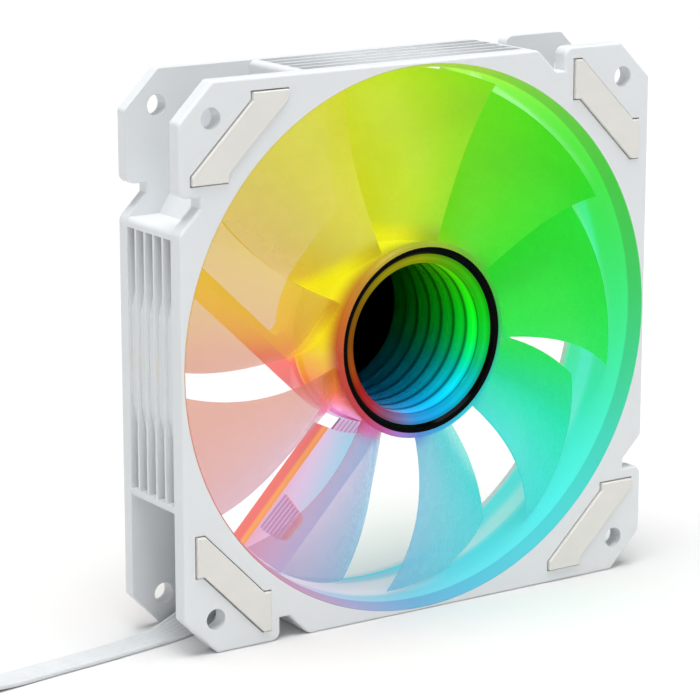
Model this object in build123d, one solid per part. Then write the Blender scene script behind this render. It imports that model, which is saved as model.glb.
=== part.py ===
from build123d import *
import os
from math import cos, radians, sin, tan

# A square case fan with an infinity mirror in its hub. Millimetres.
# X points right, Y from the front (the mirror side) to the rear, and Z up.
# The pieces are drawn round the fan's axis, which is the line X = 0, Z = 0 along Y. When they are
# written they are lifted by half the frame's width, so the origin is the middle of the bottom edge.

# Frame
SIZE = 120.0
DEPTH = 25.0
HALF = SIZE / 2
FRONT = -DEPTH / 2
REAR = DEPTH / 2
FRONT_FLANGE = 3.7
REAR_FLANGE = 3.5
CORNER_CUT = 8.0
EDGE_ROUND = 0.6
HOLE_SPACING = 105.0
HOLE_R = 2.25
DUCT_R = 60.2
DUCT_FLAT = 59.35
LIP_R = 59.1
LIP_CHAMFER = 0.35
LIP_DEPTH = 3.6
BORE_R = 58.0
REAR_BORE_R = 58.5
REAR_STEP = 1.2
SPARE = 1.0
NOTCH_NEAR = 28.7
NOTCH_FAR = 36.7
NOTCH_DEPTH = 4.9
NOTCH_STEP = 2.3

# Side panels between the flanges
PANEL_HALF = 29.9
PANEL_DEEP = 10.0
PANEL_CORNER = 1.2
SLOT_HALF = 27.9
SLOT_COUNT = 5
SLOT_WIDTH = 2.95
SLOT_PITCH = 3.65

# Corner pads
PAD_THICK = 2.0
PAD_PROUD = 0.7
PAD_GAP = 0.3

# Base cup and struts at the rear
BASE_R = 21.8
BASE_WALL = 1.4
BASE_RIM = 7.2
BASE_PLATE = 1.3
BOSS_R = 4.6
STRUT_IN = 17.0
STRUT_CREASE = 18.9
STRUT_ANGLE = 46.4
CHANNEL_IN = 6.3
CHANNEL_WALL = 0.6
CHANNEL_SLOT = 9.2
CHANNEL_END_R = 24.6
CHANNEL_FRONT = 0.8
STRUT_WEB = 2.5
TAB_STARTS = (30.0, 46.0)
TAB_LONG = 4.0
POST_R = 1.2
POST_AWAY = 8.0
RECESS_DEPTH = 0.4

# Bearing and shaft
SHAFT_R = 1.5
SHAFT_NECK_R = 1.15
SHAFT_END = 10.3
NECK = (8.6, 9.4)
SLEEVE_R = 2.6
SLEEVE_FRONT = -3.6
SLEEVE_REAR = 8.4
SEAL_THICK = 0.7
TUBE_R = 3.5
TUBE_FRONT = -4.4
THRUST_FRONT = 10.4
RUNNING_GAP = 0.03

# Stator and board
CORE_R = 15.6
CORE_HALF = 2.6
POLE_INNER_R = 13.4
POLE_HALF_ANGLE = 37.0
ARM_WIDTH = 4.0
COIL_IN = 6.6
COIL_OUT = 12.2
COIL_HALF_WIDTH = 4.3
COIL_HALF_DEPTH = 4.5
INSULATOR_THICK = 0.5
BOARD_R = 19.9
BOARD_FRONT = 9.4
BOARD_THICK = 1.0
LIGHT_COUNT = 12
LIGHT_R = 18.2
LIGHT_SIZE = 2.0

# Rotor
BLADE_COUNT = 9
BLADE_START = 38.0
TIP_R = 57.3
BLADE_REAR = 6.0
BLADE_SWEEP = 10.0
BLADE_STATIONS = (19.1, 27.0, 36.0, 47.0, 60.3)
# Each of these goes evenly from the blade's root to its tip
CHORD = (20.0, 38.0)
PITCH = (45.0, 15.5)
CAMBER = (2.0, 2.2)
BLADE_THICK = (1.5, 1.0)
HUB_R = 20.7
HUB_RIM_R = 21.4
HUB_INNER_R = 19.35
HUB_FRONT = -11.8
HUB_REAR = 6.2
YOKE_R = 19.0
YOKE_WALL = 0.8
YOKE_FRONT = -6.3
YOKE_REAR = 5.2
MAGNET_INNER_R = 16.2
SHAFT_BOSS_R = 4.0
BEZEL_R = 20.2
BEZEL_FACE_R = 19.15
BEZEL_INNER_R = 18.6
BEZEL_FRONT = -11.6
BEZEL_THICK = 0.6
BEZEL_LIP = 0.8
CONE_DEPTH = 1.0
WINDOW_THICK = 0.4
WINDOW_R = 16.95
MIRROR_GAP = 2.3
DIFFUSER_INNER_R = 16.5
SHELF_THICK = 0.6
DIFFUSER_R = HUB_INNER_R - 0.05
WINDOW_FRONT = BEZEL_FRONT + BEZEL_LIP + CONE_DEPTH
MAGNET_HALF = 4.9

# Ribbon cable
RIBBON_WAYS = 7
WAY_PITCH = 1.0
RIBBON_THICK = 1.1
RIBBON_WIDTH = RIBBON_WAYS * WAY_PITCH
RIBBON_FRONT = 8.15
RIBBON_START = 12.2
RIBBON_EXIT = 57.0
RIBBON_EXIT_AWAY = 10.5
RIBBON_TILT = 2.5
SECTIONS_PER_RUN = 3
MOTOR_WAYS = 4
LIGHT_WAYS = 3
PIN_PITCH = 2.54
SLEEVE_LONG = 8.0

# The put-away length: one turn and a part of another, on edge
HANK_START = (-131.0, -6.0)
HANK_STRAIGHT = 84.0
HANK_R = 21.0
HANK_BAND = 4.4
HANK_LOW = 0.5
HANK_HIGH = 7.6
HANK_MIDDLE = 4.05

# Routes of the cables that lie free, from the surface up: (x, y, z, roll of the width from level)
RIBBON_ROUTE = [
    (-31.7, 8.7, 11.48, 90),
    (-36.2, 8.4, 7.3, 88),
    (-41.8, 6.8, 4.1, 58),
    (-48.2, 4.4, 2.0, 24),
    (-55.8, 2.0, 0.9, 4),
    (-64.6, 0.5, 0.62, 0),
    (-75.6, -1.5, 0.6, 0),
    (-87.4, -3.0, 0.6, 0),
    (-99.2, -5.1, 0.6, 0),
    (-110.2, -6.3, 2.1, 25),
    (-120.6, -6.5, 3.9, 70),
    (-131.0, -6.0, 4.05, 90),
]
MOTOR_ROUTE = [
    (-207.0, -2.4, 2.4, 90),
    (-215.0, -1.8, 2.3, 90),
    (-221.6, 3.4, 2.2, 90),
    (-223.6, 11.8, 2.2, 90),
    (-221.0, 20.0, 2.2, 90),
    (-214.4, 25.4, 2.2, 88),
    (-205.6, 26.2, 2.2, 75),
    (-196.6, 25.6, 2.2, 40),
    (-188.6, 25.2, 2.3, 12),
    (-181.0, 25.2, 2.3, 0),
]
LIGHT_ROUTE = [
    (-207.0, -2.4, 6.0, 90),
    (-213.4, -1.8, 5.95, 90),
    (-218.2, 3.0, 5.6, 90),
    (-219.0, 9.6, 4.4, 90),
    (-215.4, 15.2, 3.2, 85),
    (-209.0, 17.6, 2.2, 55),
    (-202.4, 17.6, 1.6, 12),
    (-196.0, 17.6, 1.6, 0),
]


def slab(sketch, front, back):
    """A shape drawn in the front view, made solid from one depth to another."""
    return extrude(Plane.XZ.offset(-back) * sketch, amount=back - front)


def disc(radius, front, back):
    return slab(Circle(radius), front, back)


def ring(inner, outer, front, back):
    return slab(Circle(outer) - Circle(inner), front, back)


def turned(*points):
    """A profile of (radius, depth) points, turned round the fan's axis."""
    return revolve(make_face(Polyline(*points, close=True)), axis=Axis.Y)


def spun(shape, angle):
    """A shape turned about the fan's axis, clockwise in the front view."""
    return Rot(0, angle, 0) * shape


def group(shapes):
    """Separate solids kept together in one node."""
    return Compound([solid for shape in shapes for solid in shape.solids()])


def quarter_turns(points):
    """The points, then the same points turned by one, two and three quarters."""
    full = list(points)
    for _ in range(3):
        points = [(-z, x) for x, z in points]
        full += points
    return full


# ---------------------------------------------------------------- frame

def flange_outline():
    """A square with cut corners and a stepped notch in each side."""
    cut = HALF - CORNER_CUT
    deep = HALF - NOTCH_DEPTH
    side = [
        (-cut, HALF),
        (-HALF, cut),
        (-HALF, NOTCH_FAR),
        (-deep, NOTCH_FAR),
        (-deep, NOTCH_FAR - NOTCH_STEP),
        (-HALF, NOTCH_FAR - NOTCH_STEP - NOTCH_DEPTH),
    ]
    radii = [1.0, 1.0, 1.9, 0, 0, 2.0] * 4
    return make_face(FilletPolyline(*quarter_turns(side), radius=radii, close=True))


def flange(front, back, shown):
    """One flange, with its edges rounded on the shown face."""
    plate = slab(flange_outline(), front, back)
    rim = plate.edges().group_by(Axis.Y)[0 if shown == "front" else -1]
    return fillet(rim, EDGE_ROUND)


def pad_outline(grow):
    """The pad of the upper left corner: a slanted bar with a square foot at each end."""
    points = [
        (-57.2, 39.25),
        (-57.2, 41.1),
        (-42.75, 55.4),
        (-42.75, 57.05),
        (-34.2, 57.05),
        (-34.2, 55.1),
        (-48.7, 40.85),
        (-48.7, 39.25),
    ]
    outline = make_face(Polyline(*points, close=True))
    return offset(outline, amount=grow, kind=Kind.INTERSECTION) if grow else outline


def side_panel():
    """The slotted panel of the right side, between the flanges."""
    front = FRONT + FRONT_FLANGE
    back = REAR - REAR_FLANGE
    middle = (front + back) / 2
    panel = Pos(HALF - PANEL_DEEP / 2, middle, 0) * Box(PANEL_DEEP, back - front + 0.2, 2 * PANEL_HALF)
    corners = panel.edges().filter_by(Axis.Y).group_by(Axis.X)[-1]
    panel = fillet(corners, PANEL_CORNER)
    for i in range(SLOT_COUNT):
        y = middle + (i - (SLOT_COUNT - 1) / 2) * SLOT_PITCH
        panel -= Pos(HALF, y, 0) * Box(2 * PANEL_DEEP, SLOT_WIDTH, 2 * SLOT_HALF)
    return panel


def bore():
    """The air passage: a flared lip, a straight bore and a small step at the rear."""
    return turned(
        (0, FRONT - SPARE),
        (LIP_R + LIP_CHAMFER, FRONT - SPARE),
        (LIP_R, FRONT + LIP_CHAMFER),
        (BORE_R + 0.2, FRONT + LIP_DEPTH),
        (BORE_R, FRONT + 1.6 * LIP_DEPTH),
        (BORE_R, REAR - 2.5 * REAR_STEP),
        (REAR_BORE_R, REAR - REAR_STEP),
        (REAR_BORE_R, REAR + SPARE),
        (0, REAR + SPARE),
    )


def strut_bar(section):
    """A bar along +X with a section of (distance from the axis, depth) points."""
    outline = Polyline(*[(depth, away) for away, depth in section], close=True)
    return extrude(Plane.YZ * make_face(outline), amount=DUCT_R - 0.6)


def along_strut(shape, turns):
    """Lays a shape drawn along +X on a strut's direction, and turns it by quarters."""
    return spun(shape, -STRUT_ANGLE + 90 * turns)


def thin_strut():
    """Narrow at the front face, with its outer side leaning out to the base cup's radius."""
    section = [
        (STRUT_IN, BASE_RIM),
        (STRUT_CREASE, BASE_RIM),
        (BASE_R, REAR),
        (STRUT_IN, REAR),
    ]
    return strut_bar(section)


def strut_web():
    """The rounded corner between a thin strut's inner side and the base cup's wall."""
    away = STRUT_IN - STRUT_WEB
    along = ((BASE_R + STRUT_WEB) ** 2 - away**2) ** 0.5
    touch = BASE_R / (BASE_R + STRUT_WEB)
    corner = (BASE_R**2 - STRUT_IN**2) ** 0.5
    points = [(corner - 1, STRUT_IN), (along, STRUT_IN), (along, away), (along * touch, away * touch)]
    fill = make_face(Polyline(*points, close=True)) - Pos(along, away) * Circle(STRUT_WEB)
    return slab(fill, BASE_RIM, REAR)


def wide_strut():
    """The strut that carries the ribbon cable in a channel, open to the rear."""
    section = [
        (CHANNEL_IN + 0.35, BASE_RIM),
        (STRUT_CREASE, BASE_RIM),
        (BASE_R, REAR),
        (CHANNEL_IN, REAR),
        (CHANNEL_IN, BASE_RIM + 0.5),
    ]
    return strut_bar(section)


def strut_box(near, far, inner, outer, front, back):
    """A box along the strut's direction, from near to far and from inner to outer."""
    size = (far - near, back - front, outer - inner)
    place = ((near + far) / 2, (front + back) / 2, (inner + outer) / 2)
    return Pos(*place) * Box(*size)


def channel_window():
    """The window in the wide strut's front wall, through which the ribbon shows."""
    points = [(40.8, 7.35), (42.0, 14.7), (43.2, 15.7), (48.6, 15.2), (49.6, 13.2), (50.35, 7.25)]
    radii = [0.8, 1.0, 1.2, 1.6, 1.4, 0.8]
    outline = make_face(FilletPolyline(*points, radius=radii, close=True))
    return slab(outline, BASE_RIM - 1, BASE_RIM + CHANNEL_FRONT + 0.1)


def frame():
    front_back = FRONT + FRONT_FLANGE
    rear_front = REAR - REAR_FLANGE
    body = flange(FRONT, front_back, "front")
    body += flange(rear_front, REAR, "rear")
    duct = disc(DUCT_R, FRONT + 1, REAR - 1)
    duct &= slab(Rectangle(2 * DUCT_FLAT, 2 * DUCT_FLAT), FRONT, REAR)
    for turns in range(4):
        duct += spun(side_panel(), 90 * turns)
    body += duct
    body -= bore()
    holes = [
        Pos(x, z) * Circle(HOLE_R)
        for x in (-HOLE_SPACING / 2, HOLE_SPACING / 2)
        for z in (-HOLE_SPACING / 2, HOLE_SPACING / 2)
    ]
    body -= slab(Sketch() + holes, FRONT - 1, REAR + 1)
    pocket = pad_outline(PAD_GAP)
    deep = PAD_THICK - PAD_PROUD
    for turns in range(4):
        body -= spun(slab(pocket, FRONT - 1, FRONT + deep), 90 * turns)
        body -= spun(slab(pocket, REAR - deep, REAR + 1), 90 * turns)
    body += base_and_struts()
    body -= cable_exit()
    return body


def base_and_struts():
    cup = disc(BASE_R, BASE_RIM, REAR)
    cup = fillet(cup.edges().group_by(Axis.Y)[0], 0.5)
    inside = disc(BASE_R - BASE_WALL, BASE_RIM - 1, REAR - BASE_PLATE)
    reach = disc(DUCT_R - 0.7, BASE_RIM - 1, REAR)
    struts = [along_strut(thin_strut(), turns) for turns in (3, 0, 1)]
    wide = along_strut(wide_strut(), 2)
    opening = strut_box(
        0, DUCT_R, CHANNEL_IN + CHANNEL_WALL, CHANNEL_IN + CHANNEL_WALL + CHANNEL_SLOT,
        BASE_RIM + CHANNEL_FRONT, REAR + 1,
    )
    wide -= along_strut(opening, 2)
    wide -= along_strut(channel_window(), 2)
    gap = ring(BASE_R - 0.2, CHANNEL_END_R, BASE_RIM - 1, REAR + 1)
    gap &= along_strut(strut_box(0, DUCT_R, 0, CHANNEL_IN + CHANNEL_SLOT, BASE_RIM - 1, REAR + 1), 2)
    wide -= gap
    tabs = [
        strut_box(near, near + TAB_LONG, CHANNEL_IN + 0.3, CHANNEL_IN + 5.2, REAR - 1, REAR)
        for near in TAB_STARTS
    ]
    wide += [along_strut(tab, 2) for tab in tabs]
    body = cup
    for strut in struts:
        body += strut & reach
    body += [along_strut(strut_web(), turns) for turns in (3, 0, 1)]
    body += wide & reach
    body -= inside
    body += disc(BOSS_R, SLEEVE_FRONT, REAR - 0.5)
    board_back = BOARD_FRONT + BOARD_THICK
    post = Rot(90, 0, 0) * Cylinder(POST_R, REAR - 1 - board_back)
    post = Pos(0, (board_back + REAR - 1) / 2, POST_AWAY) * post
    for angle in (45, 135, 225, 315):
        body += spun(post, angle)
    body -= disc(TUBE_R, TUBE_FRONT - SPARE, REAR - BASE_PLATE)
    body -= disc(BASE_R - 2.4, REAR - RECESS_DEPTH, REAR + SPARE)
    return body


def cable_exit():
    """The way of the ribbon through the cup's wall, and through the duct's wall to the corner."""
    inner = CHANNEL_IN + CHANNEL_WALL
    into_cup = strut_box(9.0, CHANNEL_END_R, inner, inner + CHANNEL_SLOT, 7.9, 9.6)
    out_of_duct = strut_box(55.0, 66.0, inner - 1.4, inner + CHANNEL_SLOT, 7.9, 9.6)
    return along_strut(into_cup, 2) + along_strut(out_of_duct, 2)


def corner_pad(turns, side):
    if side == "front":
        pad = slab(pad_outline(0), FRONT - PAD_PROUD, FRONT - PAD_PROUD + PAD_THICK)
    else:
        pad = slab(pad_outline(0), REAR + PAD_PROUD - PAD_THICK, REAR + PAD_PROUD)
    edges = pad.edges().group_by(Axis.Y)[0 if side == "front" else -1]
    return spun(fillet(edges, 0.25), 90 * turns)


def rear_disc():
    """The bare disc in the recess of the base cup's rear face."""
    return disc(BASE_R - 2.6, REAR - RECESS_DEPTH, REAR - 0.1)


# ---------------------------------------------------------------- bearing

def bearing_tube():
    return ring(SLEEVE_R, TUBE_R, TUBE_FRONT, REAR - BASE_PLATE)


def bearing_sleeve():
    return ring(SHAFT_R + RUNNING_GAP, SLEEVE_R, SLEEVE_FRONT, SLEEVE_REAR)


def oil_seal():
    return ring(SHAFT_R + 0.1, SLEEVE_R, SLEEVE_FRONT - SEAL_THICK, SLEEVE_FRONT)


def retaining_clip():
    """A split washer round the neck of the shaft."""
    front, back = NECK
    washer = ring(SHAFT_NECK_R + 0.1, SLEEVE_R, front + 0.2, back - 0.2)
    return washer - Pos(0, (front + back) / 2, SLEEVE_R - 0.6) * Box(0.6, 2, 3)


def thrust_plate():
    return disc(SLEEVE_R, THRUST_FRONT, REAR - BASE_PLATE)


def shaft():
    """A hardened pin with a neck for the clip and a domed end."""
    body = disc(SHAFT_R, YOKE_FRONT - 0.3, SHAFT_END)
    body -= ring(SHAFT_NECK_R, SHAFT_R + 1, *NECK)
    tip = body.edges().group_by(Axis.Y)[-1]
    return fillet(tip, 0.6)


def shaft_boss():
    """The brass insert that joins the shaft to the yoke."""
    body = ring(SHAFT_R, SHAFT_BOSS_R, YOKE_FRONT - 0.2, YOKE_FRONT + 1.3)
    return body - ring(SLEEVE_R, SHAFT_BOSS_R + 1, YOKE_FRONT - SPARE, YOKE_FRONT + YOKE_WALL)


# ---------------------------------------------------------------- stator

def pole_face():
    """The lamination's outline: a hub, four arms and four curved shoes."""
    outline = Circle(6.2)
    for i in range(4):
        arm = Pos(0, 10) * Rectangle(ARM_WIDTH, 9)
        shoe = Circle(CORE_R) - Circle(POLE_INNER_R)
        reach = 2 * CORE_R
        left = radians(90 + POLE_HALF_ANGLE)
        right = radians(90 - POLE_HALF_ANGLE)
        wedge = make_face(
            Polyline(
                (0, 0),
                (reach * cos(left), reach * sin(left)),
                (reach * cos(right), reach * sin(right)),
                close=True,
            )
        )
        outline += Rot(0, 0, 90 * i) * (arm + (shoe & wedge))
    return outline - Circle(BOSS_R)


def stator_core():
    return slab(pole_face(), -CORE_HALF, CORE_HALF)


def insulator(side):
    """A plastic cap on one face of the core, with a wall inside and outside the coils."""
    sheet = offset(pole_face(), amount=-0.25) - Circle(BOSS_R + 0.1)
    top = CORE_HALF + INSULATOR_THICK
    cap = slab(sheet, CORE_HALF, top)
    cap += ring(BOSS_R + 0.1, COIL_IN - 0.6, top, COIL_HALF_DEPTH)
    cap += ring(COIL_OUT + 1.4, COIL_OUT + 2.2, top, COIL_HALF_DEPTH) & slab(sheet, top, COIL_HALF_DEPTH)
    return cap if side == "rear" else mirror(cap, about=Plane.XZ)


def coil():
    """One winding round the upper arm: a thick loop with rounded turns."""
    long = COIL_OUT - COIL_IN
    outer = RectangleRounded(2 * COIL_HALF_WIDTH, 2 * COIL_HALF_DEPTH, 1.6)
    inner = RectangleRounded(ARM_WIDTH + 0.5, 2 * (CORE_HALF + INSULATOR_THICK) + 0.1, 0.5)
    loop = extrude(outer - inner, amount=long)
    return Pos(0, 0, COIL_IN) * loop


# ---------------------------------------------------------------- board

def circuit_board():
    return ring(BOSS_R + 0.6, BOARD_R, BOARD_FRONT, BOARD_FRONT + BOARD_THICK)


def light_angles():
    """The lights' places round the board, without the one where the ribbon comes in."""
    step = 360 / LIGHT_COUNT
    angles = [step * (i + 0.5) for i in range(LIGHT_COUNT)]
    return [angle for angle in angles if not 180 < angle < 210]


def light_chips():
    chips = []
    for angle in light_angles():
        body = Box(LIGHT_SIZE, 0.9, LIGHT_SIZE)
        chips.append(spun(Pos(0, BOARD_FRONT - 0.45, LIGHT_R) * body, angle))
    return group(chips)


def driver_chip():
    """A flat package with four leads on each side."""
    body = Box(4.0, 1.3, 5.0)
    for side in (-1, 1):
        for row in range(4):
            body += Pos(side * 2.3, 0.55, (row - 1.5) * 1.27) * Box(1.2, 0.2, 0.4)
    return spun(Pos(0, BOARD_FRONT - 0.65, 12.0) * body, 45)


def hall_sensor():
    """A small package that stands on its three leads near the magnet."""
    body = Pos(0, 6.1, 14.6) * Box(3.6, 2.4, 1.2)
    for i in range(3):
        lead = Pos((i - 1) * 1.1, (7.2 + BOARD_FRONT) / 2, 14.6)
        body += lead * Box(0.4, BOARD_FRONT - 7.2, 0.3)
    return spun(body, 135)


def small_parts():
    """Capacitors and resistors of the driver."""
    places = [(70, 9.5), (82, 11.0), (108, 9.0), (160, 12.5), (250, 10.0), (290, 12.0), (320, 9.5)]
    chip = Box(1.6, 0.7, 0.9)
    return group([spun(Pos(0, BOARD_FRONT - 0.35, r) * chip, angle) for angle, r in places])


# ---------------------------------------------------------------- rotor

def blade_section(radius):
    """A blade's cambered section: (across, depth) of its nose, back, tail and belly.

    The blade turns clockwise in the front view, with its nose ahead and to the front.
    """
    share = (radius - HUB_R) / (TIP_R - HUB_R)
    chord, degrees, camber, thick = (
        root + (tip - root) * share for root, tip in (CHORD, PITCH, CAMBER, BLADE_THICK)
    )
    pitch = radians(degrees)
    half = chord / 2
    middle = BLADE_REAR - half * sin(pitch)

    def place(forward, up):
        across = forward * cos(pitch) - up * sin(pitch)
        depth = middle - forward * sin(pitch) - up * cos(pitch)
        return (across, depth)

    nose = place(half, 0)
    tail = place(-half, 0)
    back = place(0, camber + thick / 2)
    belly = place(0, camber - thick / 2)
    nose_low = place(half, -0.35 * thick)
    tail_low = place(-half, -0.35 * thick)
    return nose, back, tail, tail_low, belly, nose_low


def blade_face(radius):
    """The section as a face that stands across the radius, further ahead towards the tip."""
    nose, back, tail, tail_low, belly, nose_low = blade_section(radius)
    outline = (
        ThreePointArc(nose, back, tail)
        + Line(tail, tail_low)
        + ThreePointArc(tail_low, belly, nose_low)
        + Line(nose_low, nose)
    )
    share = (radius - HUB_R) / (TIP_R - HUB_R)
    plane = Plane(origin=(0, 0, radius), x_dir=(1, 0, 0), z_dir=(0, 0, 1))
    return spun(plane * make_face(outline), BLADE_SWEEP * share * share)


def blade():
    return loft([blade_face(radius) for radius in BLADE_STATIONS])


def impeller():
    """The translucent moulding: a hub open at both ends, and its blades."""
    hub = turned(
        (HUB_INNER_R, HUB_REAR),
        (HUB_RIM_R, HUB_REAR),
        (HUB_RIM_R, HUB_REAR - 1.0),
        (HUB_R, HUB_REAR - 1.8),
        (HUB_R, HUB_FRONT + 2.2),
        (HUB_RIM_R, HUB_FRONT + 1.2),
        (HUB_RIM_R, HUB_FRONT + 0.5),
        (HUB_RIM_R - 0.5, HUB_FRONT),
        (BEZEL_R + 0.05, HUB_FRONT),
        (BEZEL_R + 0.05, BEZEL_FRONT + BEZEL_THICK),
        (HUB_INNER_R, BEZEL_FRONT + BEZEL_THICK),
    )
    sweep_room = ring(HUB_R - 0.9, TIP_R, HUB_FRONT + 1.6, HUB_REAR)
    body = hub
    for i in range(BLADE_COUNT):
        body += spun(blade(), BLADE_START + i * 360 / BLADE_COUNT) & sweep_room
    shelf = ring(SHAFT_BOSS_R + 0.1, HUB_INNER_R + 0.2, YOKE_FRONT - SHELF_THICK, YOKE_FRONT)
    return body + shelf


def rotor_yoke():
    """The steel cup that closes the magnet's field."""
    cup = disc(YOKE_R, YOKE_FRONT, YOKE_REAR)
    cup = fillet(cup.edges().group_by(Axis.Y)[0], 0.7)
    cup -= disc(YOKE_R - YOKE_WALL, YOKE_FRONT + YOKE_WALL, YOKE_REAR + 1)
    return cup - disc(SLEEVE_R, YOKE_FRONT - SPARE, YOKE_REAR)


def ring_magnet():
    return ring(MAGNET_INNER_R, YOKE_R - YOKE_WALL, -MAGNET_HALF, MAGNET_HALF)


def bezel_ring():
    """The gloss black ring round the window, whose inner edge slopes back."""
    return turned(
        (BEZEL_FACE_R, BEZEL_FRONT),
        (BEZEL_R, BEZEL_FRONT),
        (BEZEL_R, BEZEL_FRONT + BEZEL_THICK),
        (DIFFUSER_R, BEZEL_FRONT + BEZEL_THICK),
        (DIFFUSER_R, BEZEL_FRONT + BEZEL_LIP),
        (BEZEL_INNER_R, BEZEL_FRONT + BEZEL_LIP),
    )


def half_mirror_window():
    """The thin window, held by its edge in the lit ring's groove."""
    return disc(WINDOW_R, WINDOW_FRONT, WINDOW_FRONT + WINDOW_THICK)


def diffuser_ring():
    """The lit ring, with a cone in front of the window and a wall between the two mirrors."""
    groove_r = WINDOW_R + 0.05
    groove_rear = WINDOW_FRONT + WINDOW_THICK
    rear = groove_rear + MIRROR_GAP
    return turned(
        (BEZEL_INNER_R, WINDOW_FRONT - CONE_DEPTH),
        (DIFFUSER_R, WINDOW_FRONT - CONE_DEPTH),
        (DIFFUSER_R, rear),
        (DIFFUSER_INNER_R, rear),
        (DIFFUSER_INNER_R, groove_rear),
        (groove_r, groove_rear),
        (groove_r, WINDOW_FRONT),
        (DIFFUSER_INNER_R, WINDOW_FRONT),
    )


def rear_mirror():
    return disc(DIFFUSER_R, WINDOW_FRONT + WINDOW_THICK + MIRROR_GAP, YOKE_FRONT - SHELF_THICK)


# ---------------------------------------------------------------- ribbon and leads

def ribbon_profile(ways):
    """A row of round wires joined side by side."""
    wires = [Pos((i - (ways - 1) / 2) * WAY_PITCH, 0) * Circle(RIBBON_THICK / 2) for i in range(ways)]
    web = Rectangle((ways - 1) * WAY_PITCH, RIBBON_THICK * 0.55)
    return Sketch() + wires + web


def channel_ribbon():
    """The ribbon from the board to the duct's wall, lying a little askew in the channel."""
    middle = RIBBON_FRONT + RIBBON_THICK / 2
    profile = Plane.YZ * (Rot(0, 0, 90) * ribbon_profile(RIBBON_WAYS))
    strip = extrude(profile, amount=RIBBON_EXIT - RIBBON_START)
    slope = tan(radians(RIBBON_TILT))
    away = RIBBON_EXIT_AWAY + (RIBBON_EXIT - RIBBON_START) * slope
    placed = Pos(RIBBON_START, middle, away) * Rot(0, RIBBON_TILT, 0) * strip
    return along_strut(placed, 2)


def solder_joints():
    """One joint for each wire, where the ribbon ends on the board."""
    away = RIBBON_EXIT_AWAY + (RIBBON_EXIT - RIBBON_START) * tan(radians(RIBBON_TILT))
    joints = []
    for i in range(RIBBON_WAYS):
        place = Pos(RIBBON_START - 0.5, BOARD_FRONT - 0.5, away + (i - 3) * WAY_PITCH)
        joints.append(along_strut(place * Rot(90, 0, 0) * Cylinder(0.4, 1.0), 2))
    return group(joints)


def corner_radii(route):
    """The largest arc that each corner of a route has room for."""
    points = [Vector(*point[:3]) for point in route]
    radii = []
    for a, b, c in zip(points, points[1:], points[2:]):
        turn = radians((b - a).get_angle(c - b))
        radii.append(0.45 * min((b - a).length, (c - b).length) / tan(turn / 2))
    return radii


def flat_cord(route, ways):
    """A flat cable laid along a route of (x, y, z, roll) points.

    Roll is the angle in degrees of the cable's width from level. The path is straight runs joined
    by tangent arcs, and the cable is skinned over flat sections that stand across it.
    """
    points = [point[:3] for point in route]
    path = Wire(FilletPolyline(*points, radius=corner_radii(route)).edges())
    lengths = [0.0]
    for a, b in zip(points, points[1:]):
        lengths.append(lengths[-1] + (Vector(*b) - Vector(*a)).length)
    sections = []
    steps = SECTIONS_PER_RUN * (len(points) - 1)
    for i in range(steps + 1):
        run = min(i // SECTIONS_PER_RUN, len(points) - 2)
        share = i / SECTIONS_PER_RUN - run
        along = (lengths[run] + share * (lengths[run + 1] - lengths[run])) / lengths[-1]
        roll = route[run][3] + share * (route[run + 1][3] - route[run][3])
        tangent = path % along
        level = tangent.cross(Vector(0, 0, 1)).normalized()
        rise = level.cross(tangent)
        width = level * cos(radians(roll)) + rise * sin(radians(roll))
        plane = Plane(origin=path @ along, x_dir=width, z_dir=tangent)
        sections.append(plane * Rectangle(ways * WAY_PITCH, RIBBON_THICK))
    body = loft(sections, ruled=True)
    return body, path


def stadium(outer):
    """A shape with two straight sides and round ends, in plan."""
    left = HANK_START[0] - HANK_STRAIGHT
    middle = HANK_START[1] + HANK_R
    points = [
        (left, middle - outer),
        (HANK_START[0], middle - outer),
        (HANK_START[0], middle + outer),
        (left, middle + outer),
    ]
    body = make_face(Polyline(*points, close=True))
    for x in (left, HANK_START[0]):
        body += Pos(x, middle) * Circle(outer)
    return body


def ribbon_hank():
    """The outer shape of the cable's put-away length: a long loop on its edge."""
    band = stadium(HANK_R + 0.7) - stadium(HANK_R - HANK_BAND)
    return extrude(Pos(0, 0, HANK_LOW) * band, amount=HANK_HIGH - HANK_LOW)


def hank_tie():
    """A strap round both turns of the hank's near side."""
    front = HANK_START[1] - 0.7
    back = HANK_START[1] + HANK_BAND
    place = Pos(HANK_START[0] - HANK_STRAIGHT / 2, (front + back) / 2, (HANK_LOW + HANK_HIGH) / 2)
    across = back - front
    tall = HANK_HIGH - HANK_LOW
    strap = Box(5.0, across + 0.9, tall + 0.9) - Box(6.0, across, tall)
    return place * strap


def split_sleeve():
    """The short sleeve where the ribbon divides into its two leads."""
    low = MOTOR_ROUTE[0]
    place = Pos(low[0] + SLEEVE_LONG / 2, low[1], HANK_MIDDLE)
    sleeve = Box(SLEEVE_LONG, RIBBON_THICK + 1.0, RIBBON_WIDTH + 0.8)
    return place * fillet(sleeve.edges().filter_by(Axis.X), 0.7)


def plug(route, ways, wide, tall, long):
    """A socket housing with one square hole for each pin, lying at the end of a lead."""
    end = route[-1]
    shell = Box(long, wide, tall)
    shell = fillet(shell.edges().filter_by(Axis.X), 0.35)
    for i in range(ways):
        y = (i - (ways - 1) / 2) * PIN_PITCH
        shell -= Pos(long / 2 - 4.0, y, 0) * Box(8.2, 1.3, 1.3)
        shell -= Pos(-long / 2 + 1.5, y, 0) * Box(3.2, 1.5, 1.5)
        shell -= Pos(-1.0, y, tall / 2) * Box(2.6, 1.1, 0.8)
    return Pos(end[0] + long / 2, end[1], tall / 2) * shell


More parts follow.
